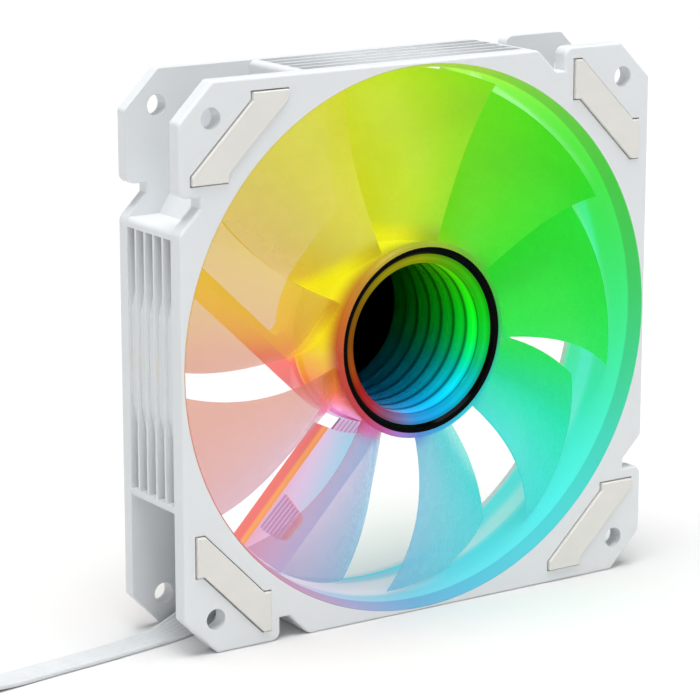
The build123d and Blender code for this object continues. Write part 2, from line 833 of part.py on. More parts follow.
def motor_plug():
    """The four-way plug, with the two guide ribs that fit over a header's tab."""
    body = plug(MOTOR_ROUTE, MOTOR_WAYS, 10.6, 4.6, 11.6)
    end = MOTOR_ROUTE[-1]
    for side in (-1, 1):
        rib = Pos(end[0] + 6.8, end[1] + side * 2.3, 5.0) * Box(8.0, 1.0, 1.2)
        body += rib
    return body


def light_plug():
    """The three-way plug, in a housing four pitches wide."""
    return plug(LIGHT_ROUTE, LIGHT_WAYS, 10.3, 3.2, 13.0)


def fan_pieces():
    """Every piece that is drawn round the fan's axis, by name."""
    pieces = {"frame": frame(), "rear_disc": rear_disc()}
    corners = ("top_left", "top_right", "bottom_right", "bottom_left")
    for turns, corner in enumerate(corners):
        pieces["front_pad_" + corner] = corner_pad(turns, "front")
        pieces["rear_pad_" + corner] = corner_pad(turns, "rear")
        pieces["coil_" + str(turns + 1)] = spun(coil(), 90 * turns)
    pieces.update(
        bearing_tube=bearing_tube(),
        bearing_sleeve=bearing_sleeve(),
        oil_seal=oil_seal(),
        retaining_clip=retaining_clip(),
        thrust_plate=thrust_plate(),
        stator_core=stator_core(),
        insulator_front=insulator("front"),
        insulator_rear=insulator("rear"),
        circuit_board=circuit_board(),
        light_chips=light_chips(),
        driver_chip=driver_chip(),
        hall_sensor=hall_sensor(),
        small_parts=small_parts(),
        solder_joints=solder_joints(),
        channel_ribbon=channel_ribbon(),
        impeller=impeller(),
        rotor_yoke=rotor_yoke(),
        ring_magnet=ring_magnet(),
        shaft=shaft(),
        shaft_boss=shaft_boss(),
        bezel_ring=bezel_ring(),
        half_mirror_window=half_mirror_window(),
        diffuser_ring=diffuser_ring(),
        rear_mirror=rear_mirror(),
    )
    return pieces


def cable_pieces():
    """Every piece that lies on the surface that the fan stands on, by name."""
    pieces = {
        "ribbon_hank": ribbon_hank(),
        "hank_tie": hank_tie(),
        "split_sleeve": split_sleeve(),
        "motor_plug": motor_plug(),
        "light_plug": light_plug(),
    }
    cords = {
        "ribbon_cable": (RIBBON_ROUTE, RIBBON_WAYS),
        "motor_lead": (MOTOR_ROUTE, MOTOR_WAYS),
        "light_lead": (LIGHT_ROUTE, LIGHT_WAYS),
    }
    for name, (route, ways) in cords.items():
        pieces[name], path = flat_cord(route, ways)
        expected = path.length * ways * WAY_PITCH * RIBBON_THICK
        print(name, "radii", [round(radius, 1) for radius in corner_radii(route)])
        print(name, "length", round(path.length, 1), "volume", round(pieces[name].volume, 1),
              "section by length", round(expected, 1))
    return pieces


def main():
    os.makedirs("parts", exist_ok=True)
    for name, shape in fan_pieces().items():
        lifted = group([Pos(0, 0, HALF) * solid for solid in shape.solids()])
        export_step(lifted, "parts/" + name + ".step")
    for name, shape in cable_pieces().items():
        export_step(shape, "parts/" + name + ".step")


main()
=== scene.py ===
"""A lit case fan with an infinity mirror in its hub, dressed over its solids."""

import logging
import math
from collections.abc import Sequence
from dataclasses import dataclass, field
from enum import Enum

import bmesh
import bpy
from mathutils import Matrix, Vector


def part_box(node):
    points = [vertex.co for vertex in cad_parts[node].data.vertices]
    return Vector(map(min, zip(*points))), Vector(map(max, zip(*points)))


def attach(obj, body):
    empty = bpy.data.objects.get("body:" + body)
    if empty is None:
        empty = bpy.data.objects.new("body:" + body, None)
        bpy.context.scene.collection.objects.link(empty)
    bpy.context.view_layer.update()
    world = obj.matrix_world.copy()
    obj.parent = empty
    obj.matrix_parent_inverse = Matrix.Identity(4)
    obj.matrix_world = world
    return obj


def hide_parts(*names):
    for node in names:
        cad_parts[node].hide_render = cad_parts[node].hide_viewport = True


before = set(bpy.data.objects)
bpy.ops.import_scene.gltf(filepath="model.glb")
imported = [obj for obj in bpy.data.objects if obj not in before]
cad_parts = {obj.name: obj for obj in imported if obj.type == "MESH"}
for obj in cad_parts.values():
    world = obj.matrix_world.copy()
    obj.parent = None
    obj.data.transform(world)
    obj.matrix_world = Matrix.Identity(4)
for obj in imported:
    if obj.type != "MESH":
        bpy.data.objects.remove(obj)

LOG = logging.getLogger("case_fan")
MM = 0.001
HOUSING = "housing"

Colour = tuple[float, float, float]
Point = tuple[float, float, float]
Socket = bpy.types.NodeSocket


def tone(red: int, green: int, blue: int) -> Colour:
    """A display colour of 0 to 255 as the linear colour that shaders take.

    Args:
        red: The red share.
        green: The green share.
        blue: The blue share.

    Returns:
        Linear red, green and blue from 0 to 1.
    """
    def linear(share: int) -> float:
        """One channel, by the display's own curve."""
        value = share / 255
        return value / 12.92 if value <= 0.04045 else ((value + 0.055) / 1.055) ** 2.4

    return linear(red), linear(green), linear(blue)


def grey(level: float) -> Colour:
    """A level as an even grey."""
    return (level, level, level)


def toned(colour: Colour, factor: float) -> Colour:
    """A colour made darker, or lighter as far as white."""
    return tuple(min(1.0, factor * share) for share in colour)


# ---------------------------------------------------------------- shader sheets


class Sheet:
    """The node sheet of one material, with a short call for each kind of node."""

    def __init__(self, name: str) -> None:
        """Starts an empty sheet.

        Args:
            name: The material's name.
        """
        self.material = bpy.data.materials.new(name)
        self.material.use_nodes = True
        self.tree = self.material.node_tree
        self.tree.nodes.clear()
        self.output = self.node("ShaderNodeOutputMaterial")
        self._place: Socket | None = None

    def node(self, kind: str, **settings: object) -> bpy.types.Node:
        """Adds a node.

        Args:
            kind: The node's type.
            **settings: Its own options.

        Returns:
            The new node.
        """
        made = self.tree.nodes.new(kind)
        for key, value in settings.items():
            setattr(made, key, value)
        return made

    def feed(self, socket: Socket, value: object) -> None:
        """Gives a socket a number, a colour or another node's output.

        Args:
            socket: The input to fill.
            value: What fills it.
        """
        if isinstance(value, bpy.types.NodeSocket):
            self.tree.links.new(value, socket)
        elif isinstance(value, (tuple, list)) and socket.type == "RGBA":
            socket.default_value = (*value[:3], 1.0)
        else:
            socket.default_value = value

    def maths(self, operation: str, first: object, second: object = None) -> Socket:
        """A sum of one or two numbers.

        Args:
            operation: The operation's name.
            first: A number or a socket.
            second: A number or a socket, where the operation has two.

        Returns:
            The result's socket.
        """
        made = self.node("ShaderNodeMath", operation=operation)
        self.feed(made.inputs[0], first)
        if second is not None:
            self.feed(made.inputs[1], second)
        return made.outputs[0]

    def step(self, value: object, low: float, high: float, bottom: float = 0.0, top: float = 1.0) -> Socket:
        """A smooth rise from bottom to top while the value goes from low to high.

        Args:
            value: The number that is followed.
            low: Where the rise starts.
            high: Where the rise ends.
            bottom: The result below low.
            top: The result above high.

        Returns:
            The result's socket.
        """
        made = self.node("ShaderNodeMapRange", interpolation_type="SMOOTHSTEP")
        for socket, number in zip(made.inputs, (value, low, high, bottom, top)):
            self.feed(socket, number)
        return made.outputs[0]

    def place(self) -> Socket:
        """The point's place in the object's own frame, in metres."""
        if self._place is None:
            self._place = self.node("ShaderNodeTexCoord").outputs["Object"]
        return self._place

    def room(self) -> Socket:
        """The point's place in the room, which stays put when the piece turns, in metres."""
        return self.node("ShaderNodeNewGeometry").outputs["Position"]

    def split(self, vector: Socket) -> tuple[Socket, Socket, Socket]:
        """The three numbers of a vector.

        Args:
            vector: The vector.

        Returns:
            Its three numbers' sockets.
        """
        made = self.node("ShaderNodeSeparateXYZ")
        self.feed(made.inputs[0], vector)
        return made.outputs[0], made.outputs[1], made.outputs[2]

    def mix(self, share: object, first: object, second: object, blend: str = "MIX") -> Socket:
        """Two colours, mixed.

        Args:
            share: How much of the second, from 0 to 1.
            first: The first colour.
            second: The second colour.
            blend: How the second is laid on the first.

        Returns:
            The mixed colour's socket.
        """
        made = self.node("ShaderNodeMix", data_type="RGBA", blend_type=blend)
        self.feed(made.inputs["Factor"], share)
        self.feed(made.inputs[6], first)
        self.feed(made.inputs[7], second)
        return made.outputs[2]

    def times(self, colour: Socket, level: float) -> Socket:
        """A colour with its three shares multiplied by a level.

        Args:
            colour: The colour.
            level: The level.

        Returns:
            The new colour's socket.
        """
        return self.mix(1.0, colour, grey(level), "MULTIPLY")

    def blend(self, share: Socket, first: bpy.types.Node, second: bpy.types.Node) -> Socket:
        """Two shaders, mixed.

        Args:
            share: How much of the second, from 0 to 1.
            first: The first shader.
            second: The second shader.

        Returns:
            The mixed shader's socket.
        """
        made = self.node("ShaderNodeMixShader")
        for socket, value in zip(made.inputs, (share, first.outputs[0], second.outputs[0])):
            self.feed(socket, value)
        return made.outputs[0]

    def ramp(self, value: object, stops: Sequence[tuple[float, Colour]]) -> Socket:
        """A colour that changes with a number.

        Args:
            value: The number, from 0 to 1.
            stops: The places and colours along it.

        Returns:
            The colour's socket.
        """
        made = self.node("ShaderNodeValToRGB")
        ramp = made.color_ramp
        ramp.interpolation = "LINEAR"
        while len(ramp.elements) < len(stops):
            ramp.elements.new(0.5)
        for element, (at, colour) in zip(ramp.elements, stops):
            element.position = at
            element.color = (*colour, 1.0)
        self.feed(made.inputs[0], value)
        return made.outputs[0]

    def fade(self, value: object, profile: "Fade") -> Socket:
        """A level that changes with a number.

        Args:
            value: The number, from 0 to 1.
            profile: The places and levels along it.

        Returns:
            The level's socket.
        """
        return self.ramp(value, [(at, grey(level)) for at, level in profile.value])

    def noise(self, size: float, detail: float = 2.0, stretch: Point = (1.0, 1.0, 1.0)) -> Socket:
        """Soft random patches.

        Args:
            size: The patches' size in metres.
            detail: How many finer layers they have.
            stretch: How much the pattern is squeezed along each axis.

        Returns:
            A number from 0 to 1.
        """
        laid = self.node("ShaderNodeMapping")
        self.feed(laid.inputs["Vector"], self.place())
        laid.inputs["Scale"].default_value = stretch
        made = self.node("ShaderNodeTexNoise")
        self.feed(made.inputs["Vector"], laid.outputs[0])
        made.inputs["Scale"].default_value = 1.0 / size
        made.inputs["Detail"].default_value = detail
        return made.outputs["Fac"]

    def bump(self, height: Socket, depth: float, under: Socket | None = None) -> Socket:
        """A surface normal that follows a height.

        Args:
            height: The height, from 0 to 1.
            depth: How many metres that stands for.
            under: A normal to start from.

        Returns:
            The normal's socket.
        """
        made = self.node("ShaderNodeBump")
        made.inputs["Strength"].default_value = 1.0
        made.inputs["Distance"].default_value = depth
        self.feed(made.inputs["Height"], height)
        if under is not None:
            self.feed(made.inputs["Normal"], under)
        return made.outputs[0]

    def soft_edges(self, radius: float) -> Socket:
        """A normal that rounds every edge by a radius in metres.

        Args:
            radius: The radius.

        Returns:
            The normal's socket.
        """
        made = self.node("ShaderNodeBevel", samples=4)
        made.inputs["Radius"].default_value = radius
        return made.outputs[0]

    def surface(self, **inputs: object) -> bpy.types.Node:
        """The general surface shader, with the named inputs filled.

        Args:
            **inputs: Input names, with _ for a space, and what fills them.

        Returns:
            The shader node.
        """
        made = self.node("ShaderNodeBsdfPrincipled")
        for key, value in inputs.items():
            self.feed(made.inputs[key.replace("_", " ")], value)
        return made

    def finish(self, shader: Socket) -> bpy.types.Material:
        """Ends the sheet in a shader, and gives its material."""
        self.feed(self.output.inputs["Surface"], shader)
        return self.material


@dataclass(frozen=True)
class Axis:
    """The fan's axis, and the numbers that are told from it."""

    height: float

    def around(self, sheet: Sheet) -> tuple[Socket, Socket, Socket]:
        """Where a point is, as seen from the axis. The lights stand still, so their colours do too.

        Args:
            sheet: The material's sheet.

        Returns:
            The share of a turn clockwise from the top, the radius in millimetres, and the depth in
            millimetres behind the fan's middle.
        """
        x, y, z = sheet.split(sheet.room())
        up = sheet.maths("SUBTRACT", z, self.height)
        turn = sheet.maths("ARCTAN2", x, up)
        share = sheet.maths("FRACT", sheet.maths("DIVIDE", turn, math.tau))
        squares = sheet.maths("ADD", sheet.maths("MULTIPLY", x, x), sheet.maths("MULTIPLY", up, up))
        radius = sheet.maths("DIVIDE", sheet.maths("SQRT", squares), MM)
        return share, radius, sheet.maths("DIVIDE", y, MM)

    def facing(self, sheet: Sheet) -> tuple[Socket, Socket, Socket]:
        """Which way a surface looks.

        Args:
            sheet: The material's sheet.

        Returns:
            How far it looks clockwise round the axis, to the rear, and away from the axis, from -1 to 1.
        """
        x, _, z = sheet.split(sheet.room())
        up = sheet.maths("SUBTRACT", z, self.height)
        across, back, rise = sheet.split(sheet.node("ShaderNodeNewGeometry").outputs["Normal"])
        squares = sheet.maths("ADD", sheet.maths("MULTIPLY", x, x), sheet.maths("MULTIPLY", up, up))
        radius = sheet.maths("SQRT", squares)
        ahead = sheet.maths("SUBTRACT", sheet.maths("MULTIPLY", across, up), sheet.maths("MULTIPLY", rise, x))
        out = sheet.maths("ADD", sheet.maths("MULTIPLY", across, x), sheet.maths("MULTIPLY", rise, up))
        return sheet.maths("DIVIDE", ahead, radius), back, sheet.maths("DIVIDE", out, radius)


@dataclass(frozen=True)
class LightWheel:
    """The colours of the ring of lights: degrees clockwise from the top, then red, green and blue."""

    stops: tuple[tuple[int, int, int, int], ...]

    def ramp(self, sheet: Sheet, share: Socket) -> Socket:
        """The light's colour at a share of a turn.

        Args:
            sheet: The material's sheet.
            share: The share of a turn, clockwise from the top.

        Returns:
            The colour's socket.
        """
        closed = [(degrees / 360, tone(*colour)) for degrees, *colour in self.stops]
        return sheet.ramp(sheet.maths("FRACT", share), [*closed, (1.0, closed[0][1])])


class Glow(Enum):
    """The light wheels: at the hub's front and side, on the struts, bore and blades, and in the mirror;
    painted as glow where they fall on parts that are no lamps, and as a painted highlight streak along the
    bore.
    """

    # Dimmer than HUB: painted shade at the hub's front edge and at the bore's lip.
    RIM = LightWheel((
        (0, 160, 174, 48), (15, 146, 186, 50), (30, 112, 180, 50), (60, 68, 188, 54), (85, 52, 190, 80),
        (105, 44, 196, 136), (128, 42, 200, 188), (150, 52, 194, 216), (168, 54, 166, 220),
        (182, 92, 134, 212), (196, 166, 122, 206), (210, 188, 82, 150), (225, 192, 60, 80),
        (245, 190, 62, 56), (268, 190, 76, 44), (290, 196, 108, 38), (312, 190, 134, 42),
        (330, 192, 168, 44),
    ))
    HUB = LightWheel((
        (0, 242, 244, 40), (15, 196, 228, 41), (35, 132, 224, 40), (60, 71, 216, 49), (90, 56, 220, 84),
        (112, 44, 192, 150), (135, 66, 218, 216), (158, 110, 200, 226), (182, 150, 120, 196),
        (198, 214, 80, 130), (210, 246, 148, 214), (225, 252, 146, 190), (240, 252, 138, 90),
        (255, 253, 192, 59), (268, 254, 236, 44), (300, 254, 247, 36), (318, 252, 250, 34),
        (345, 246, 245, 41),
    ))
    STRUT = LightWheel((
        (0, 236, 240, 44), (20, 170, 236, 46), (45, 93, 232, 56), (90, 58, 228, 100), (125, 66, 230, 200),
        (160, 104, 228, 236), (186, 170, 234, 247), (195, 184, 231, 246), (203, 214, 222, 241),
        (210, 238, 210, 234), (217, 239, 182, 206), (226, 238, 150, 172), (238, 234, 120, 118),
        (254, 236, 116, 108), (264, 246, 198, 84), (274, 248, 222, 76), (284, 247, 224, 56),
        (300, 244, 226, 50), (330, 240, 236, 44),
    ))
    BORE = LightWheel((
        (0, 196, 234, 76), (15, 180, 236, 60), (30, 132, 237, 59), (45, 93, 231, 61), (60, 66, 227, 69),
        (75, 58, 230, 102), (90, 59, 233, 138), (105, 60, 234, 174), (120, 66, 235, 212),
        (135, 72, 232, 226), (150, 82, 230, 234), (165, 100, 225, 238), (180, 126, 216, 235),
        (195, 162, 212, 236), (210, 220, 204, 232), (222, 238, 190, 214), (238, 238, 132, 124),
        (256, 240, 150, 100), (276, 244, 208, 84), (305, 244, 230, 60), (335, 232, 236, 56),
    ))
    # Whitish colours of the painted highlight streak along the bore wall.
    PAINTED_HIGHLIGHT = LightWheel((
        (0, 216, 244, 112), (15, 196, 244, 110), (30, 150, 243, 104), (45, 112, 240, 112),
        (60, 82, 239, 134), (75, 66, 240, 160), (90, 66, 241, 186), (105, 84, 240, 214),
        (120, 122, 240, 232), (135, 152, 241, 236), (150, 186, 242, 241), (165, 216, 243, 245),
        (180, 237, 243, 247), (195, 244, 241, 248), (210, 240, 224, 242), (222, 242, 204, 222),
        (238, 241, 144, 136), (256, 242, 160, 110), (276, 246, 212, 92), (305, 246, 232, 68),
        (335, 236, 238, 66),
    ))
    BLADE = LightWheel((
        (0, 202, 230, 42), (15, 160, 226, 41), (30, 117, 226, 38), (45, 86, 225, 42), (62, 56, 226, 50),
        (90, 53, 228, 77), (105, 55, 231, 106), (120, 56, 231, 186), (135, 80, 228, 214),
        (150, 100, 219, 225), (165, 130, 214, 226), (180, 140, 204, 228), (195, 168, 190, 222),
        (212, 200, 180, 216), (228, 222, 168, 184), (243, 224, 156, 150), (256, 224, 146, 122),
        (270, 224, 156, 108), (284, 226, 180, 84), (300, 226, 196, 70), (315, 220, 206, 84),
        (330, 223, 220, 80), (345, 219, 226, 48),
    ))
    MIRROR = LightWheel((
        (0, 140, 150, 4), (18, 100, 160, 4), (36, 66, 172, 6), (55, 38, 180, 10), (78, 12, 202, 22),
        (98, 8, 206, 54), (113, 6, 196, 112), (126, 6, 192, 180), (140, 8, 190, 214), (153, 11, 180, 224),
        (166, 20, 168, 230), (182, 48, 152, 220), (196, 116, 112, 160), (208, 131, 84, 118),
        (224, 170, 42, 56), (240, 160, 32, 16), (256, 156, 70, 8), (275, 132, 72, 4), (300, 126, 92, 2),
        (325, 140, 132, 3),
    ))


class Fade(Enum):
    """Levels along a share from 0 to 1: of the bore's depth, of a turn, or from one edge to the other."""

    # The painted highlight streak's levels along the bore's depth: narrow, and broad low down.
    NARROW_HIGHLIGHT = (
        (0.0, 0.0), (0.48, 0.0), (0.56, 0.3), (0.62, 1.0), (0.78, 0.95), (0.86, 0.3), (0.9, 0.1), (1.0, 0.0),
    )
    BROAD_HIGHLIGHT = ((0.0, 0.0), (0.2, 0.0), (0.3, 0.75), (0.42, 1.0), (0.8, 0.95), (0.88, 0.3), (1.0, 0.0))
    # A painted highlight line at the bore's rear edge, across the bottom.
    REAR_EDGE_HIGHLIGHT = ((0.0, 0.0), (0.4, 0.0), (0.46, 0.9), (0.58, 0.9), (0.62, 0.0), (1.0, 0.0))
    # Painted light levels round the turn: the bore's glow dimmer at the bottom, where the overhead light
    # already falls, and the strut glow brighter on the left, where the strut lies in shade.
    WALL_GLOW = ((0.0, 1.0), (0.25, 1.0), (0.38, 0.88), (0.5, 0.64), (0.6, 0.66), (0.75, 0.9), (1.0, 1.0))
    STRUT_GLOW = ((0.0, 1.0), (0.66, 1.0), (0.72, 1.3), (0.86, 1.3), (0.92, 1.0), (1.0, 1.0))
    BLADE_BODY = (
        (0.0, 0.94), (0.12, 0.97), (0.36, 0.98), (0.43, 0.93), (0.48, 0.74), (0.53, 0.48), (0.6, 0.34),
        (0.74, 0.32), (0.82, 0.4), (0.9, 0.8), (1.0, 0.94),
    )
    MIRROR_CONE = ((0.0, 0.86), (0.15, 1.0), (0.55, 0.98), (0.8, 0.78), (1.0, 0.7))
    MIRROR_WALL = ((0.0, 0.3), (0.1, 0.36), (0.16, 0.72), (0.5, 0.9), (1.0, 1.0))


# ---------------------------------------------------------------- finishes


@dataclass(frozen=True)
class Finish:
    """What every finish has: a name, and a call that makes its material."""

    name: str

    def make(self) -> bpy.types.Material:
        """The finish as a material."""
        raise NotImplementedError


@dataclass(frozen=True)
class Moulding(Finish):
    """Plain moulded plastic with the faint grain of its mould."""

    colour: Colour
    roughness: float = 0.45
    grain: float = 0.35 * MM
    relief: float = 0.012 * MM
    edge: float = 0.15 * MM

    def make(self) -> bpy.types.Material:
        """Even colour, a little mottled, with a fine grain and soft edges.

        Returns:
            The material.
        """
        sheet = Sheet(self.name)
        grain = sheet.noise(self.grain, 3.0)
        patch = sheet.noise(14 * MM, 2.0)
        shade = toned(self.colour, 0.93)
        colour = sheet.mix(patch, self.colour, shade)
        surface = sheet.surface(
            Base_Color=colour,
            Roughness=sheet.step(grain, 0.2, 0.8, self.roughness - 0.05, self.roughness + 0.07),
            Normal=sheet.bump(grain, self.relief, sheet.soft_edges(self.edge)),
        )
        return sheet.finish(surface.outputs[0])


@dataclass(frozen=True)
class LitMoulding(Finish):
    """The frame's white plastic, with the colours of the lights inside its bore painted on it as glow and
    tint, painted highlights and painted shade.
    """

    colour: Colour
    axis: Axis
    struts: LightWheel
    bore: LightWheel
    painted_highlight: LightWheel
    rim: LightWheel
    rear_edge_highlight: Colour = tone(70, 224, 240)
    painted_corner_highlight: Colour = tone(250, 178, 92)
    strut_front: float = 8.0
    bore_edge: float = 59.4
    wall_edge: float = 57.45
    outer_wall: float = 56.0
    rear_face: float = 10.8
    highlight_front: float = -13.0
    highlight_back: float = 12.0
    broadens: float = 0.46
    is_broad: float = 0.52
    edge_front: float = 8.4
    edge_back: float = 9.2
    lip_back: float = -9.0
    blur: float = 0.3
    wall_level: float = 1.14
    lip_shade_level: float = 0.84
    lean_ahead: float = 0.1
    lean_behind: float = 0.03
    painted_light_tint: float = 0.94
    body: float = 0.52
    power: float = 0.5

    def lit(self, sheet: Sheet, radius: Socket, depth: Socket, back: Socket, out: Socket) -> Socket:
        """Where the painted light reaches: all that lies inside the bore, but not its outer walls or rear
        face, and less of it on faces that look to the rear.

        Args:
            sheet: The material's sheet.
            radius: The radius in millimetres.
            depth: The depth in millimetres.
            back: How far the surface looks to the rear.
            out: How far it looks away from the axis.

        Returns:
            The share of light, from 0 to 1.
        """
        rear = sheet.step(depth, self.rear_face, self.rear_face + 0.2)
        reach = sheet.maths("ADD", radius, rear)
        inside = sheet.step(reach, self.bore_edge - 0.05, self.bore_edge + 0.05, 1.0, 0.0)
        # Faces that look to the rear keep little of the glow: painted shade on the sides turned from the
        # lights.
        turned_to_lights = sheet.step(back, 0.3, 0.9, 1.0, 0.12)
        beyond = sheet.step(radius, self.outer_wall, self.outer_wall + 0.5)
        outer = sheet.maths("MULTIPLY", beyond, sheet.step(out, 0.2, 0.5))
        inner = sheet.maths("SUBTRACT", 1.0, outer)
        return sheet.maths("MULTIPLY", sheet.maths("MULTIPLY", inside, turned_to_lights), inner)

    def make(self) -> bpy.types.Material:
        """White outside; inside the bore a painted glow and tint in the colour of the light that is nearest,
        with painted highlights and painted shade.

        Returns:
            The material.
        """
        sheet = Sheet(self.name)
        share, radius, depth = self.axis.around(sheet)
        ahead, back, out = self.axis.facing(sheet)
        mask = self.lit(sheet, radius, depth, back, out)
        # Faces that look clockwise take the colour from further along the wheel, faces that look back a
        # little from behind: painted light, by the side each face looks to.
        fore = sheet.maths("MULTIPLY", sheet.maths("MAXIMUM", ahead, 0.0), self.lean_ahead)
        aft = sheet.maths("MULTIPLY", sheet.maths("MINIMUM", ahead, 0.0), self.lean_behind)
        strut = self.struts.ramp(sheet, sheet.maths("ADD", share, sheet.maths("ADD", fore, aft)))
        # A painted highlight, orange, on strut faces that look clockwise, fading out behind strut_front.
        at_front = sheet.step(depth, self.strut_front + 0.3, self.strut_front + 1.5, 0.85, 0.0)
        corner = sheet.maths("MULTIPLY", sheet.step(ahead, 0.5, 0.9), at_front)
        strut = sheet.mix(corner, strut, self.painted_corner_highlight)
        wall = self.bore.ramp(sheet, share)
        on_wall = sheet.step(radius, self.wall_edge - 0.15, self.wall_edge + 0.15)
        # A painted highlight streak along the bore wall, narrow on the right and broad from the bottom round
        # to the left.
        along = sheet.step(depth, self.highlight_front, self.highlight_back)
        low = sheet.step(share, self.broadens, self.is_broad)
        streak = sheet.mix(low, sheet.fade(along, Fade.NARROW_HIGHLIGHT), sheet.fade(along, Fade.BROAD_HIGHLIGHT))
        pale = sheet.mix(streak, wall, self.painted_highlight.ramp(sheet, share))
        # A painted highlight line, cyan, round the bottom of the bore's rear edge.
        at_back = sheet.step(depth, self.edge_front, self.edge_back)
        edge = sheet.maths("MULTIPLY", at_back, sheet.fade(share, Fade.REAR_EDGE_HIGHLIGHT))
        wall = sheet.mix(edge, pale, self.rear_edge_highlight)
        # At the front lip the dimmer RIM colours and a lower level: painted shade.
        at_lip = sheet.step(depth, self.lip_back - self.blur, self.lip_back + self.blur, 1.0, 0.0)
        mouth = sheet.mix(0.5, wall, self.rim.ramp(sheet, share))
        glow = sheet.mix(on_wall, strut, sheet.mix(at_lip, wall, mouth))
        # The glow's level round the turn: painted lighter where a strut lies in shade, and dimmer where
        # overhead light falls.
        near = sheet.mix(on_wall, sheet.fade(share, Fade.STRUT_GLOW), sheet.fade(share, Fade.WALL_GLOW))
        level = sheet.maths("MULTIPLY", sheet.step(at_lip, 0.0, 1.0, self.wall_level, self.lip_shade_level), near)
        grain = sheet.noise(0.3 * MM, 3.0)
        patch = sheet.noise(16 * MM, 2.0)
        plain = sheet.mix(sheet.maths("MULTIPLY", patch, 0.05), self.colour, (0.55, 0.58, 0.6))
        # Inside the bore the base colour takes the lights' colour and the surface glows in it: painted light,
        # not the plastic's own colour.
        deep = sheet.times(glow, self.body)
        surface = sheet.surface(
            Base_Color=sheet.mix(sheet.maths("MULTIPLY", mask, self.painted_light_tint), plain, deep),
            Roughness=sheet.step(grain, 0.2, 0.8, 0.36, 0.46),
            Specular_IOR_Level=0.3,
            Normal=sheet.bump(grain, 0.01 * MM, sheet.soft_edges(0.2 * MM)),
            Emission_Color=glow,
            Emission_Strength=sheet.maths("MULTIPLY", sheet.maths("MULTIPLY", mask, level), self.power),
        )
        return sheet.finish(surface.outputs[0])


@dataclass(frozen=True)
class OpalMoulding(Finish):
    """The impeller's translucent plastic, with the lights' colours painted on it as glow out to its tips."""

    axis: Axis
    rim: LightWheel
    hub: LightWheel
    blade: LightWheel
    hub_edge: float = 21.5
    root_length: float = 4.5
    rim_back: float = -10.6
    side_front: float = -3.5
    body: float = 0.5
    power: float = 0.5

    def make(self) -> bpy.types.Material:
        """A painted glow, bright and dense at the hub, clearer along the blades, most so to the lower left;
        dimmer at the hub's front edge.

        Returns:
            The material.
        """
        sheet = Sheet(self.name)
        share, radius, depth = self.axis.around(sheet)
        out = sheet.step(radius, self.hub_edge, self.hub_edge + self.root_length)
        # Towards the hub's front edge, the dimmer RIM colours: painted shade.
        front = sheet.step(depth, self.rim_back, self.side_front)
        side = sheet.mix(front, self.rim.ramp(sheet, share), self.hub.ramp(sheet, share))
        glow = sheet.mix(out, side, self.blade.ramp(sheet, share))
        at_hub = sheet.step(out, 0.0, 0.9, 0.97, 0.0)
        dense = sheet.maths("MAXIMUM", sheet.fade(share, Fade.BLADE_BODY), at_hub)
        streak = sheet.noise(3.2 * MM, 2.0, (1.0, 0.35, 1.0))
        # Base colour, glow and the see-through tint all take the lights' colours: painted light.
        surface = sheet.surface(
            Base_Color=sheet.times(glow, self.body),
            Roughness=sheet.step(streak, 0.2, 0.8, 0.22, 0.32),
            Specular_IOR_Level=0.18,
            Emission_Color=glow,
            Emission_Strength=sheet.step(streak, 0.2, 0.8, 0.97 * self.power, 1.03 * self.power),
            Normal=sheet.bump(sheet.noise(0.7 * MM, 2.0), 0.0015 * MM),
        )
        clear = sheet.node("ShaderNodeBsdfTransparent")
        sheet.feed(clear.inputs[0], sheet.mix(0.25, (1.0, 1.0, 1.0), glow))
        return sheet.finish(sheet.blend(dense, clear, surface))


@dataclass(frozen=True)
class PadRubber(Finish):
    """Soft off-white rubber with a dusty face."""

    colour: Colour

    def make(self) -> bpy.types.Material:
        """Matte, with a slight sheen and fine dimples.

        Returns:
            The material.
        """
        sheet = Sheet(self.name)
        fine = sheet.noise(0.22 * MM, 4.0)
        patch = sheet.noise(5 * MM, 3.0)
        shade = toned(self.colour, 0.965)
        surface = sheet.surface(
            Base_Color=sheet.mix(sheet.step(patch, 0.2, 0.8), self.colour, shade),
            Roughness=sheet.step(fine, 0.2, 0.8, 0.72, 0.88),
            Sheen_Weight=0.25,
            Sheen_Roughness=0.5,
            Normal=sheet.bump(fine, 0.02 * MM, sheet.soft_edges(0.15 * MM)),
        )
        return sheet.finish(surface.outputs[0])


@dataclass(frozen=True)
class GlossBlack(Finish):
    """Polished black plastic."""

    def make(self) -> bpy.types.Material:
        """Nearly even black with faint polishing marks in its gloss.

        Returns:
            The material.
        """
        sheet = Sheet(self.name)
        haze = sheet.noise(2.5 * MM, 3.0)
        surface = sheet.surface(
            Base_Color=sheet.mix(haze, (0.0006, 0.0006, 0.0008), (0.0014, 0.0014, 0.0016)),
            Roughness=sheet.step(haze, 0.3, 0.7, 0.12, 0.2),
            Specular_IOR_Level=0.03,
            Normal=sheet.bump(haze, 0.004 * MM),
        )
        return sheet.finish(surface.outputs[0])


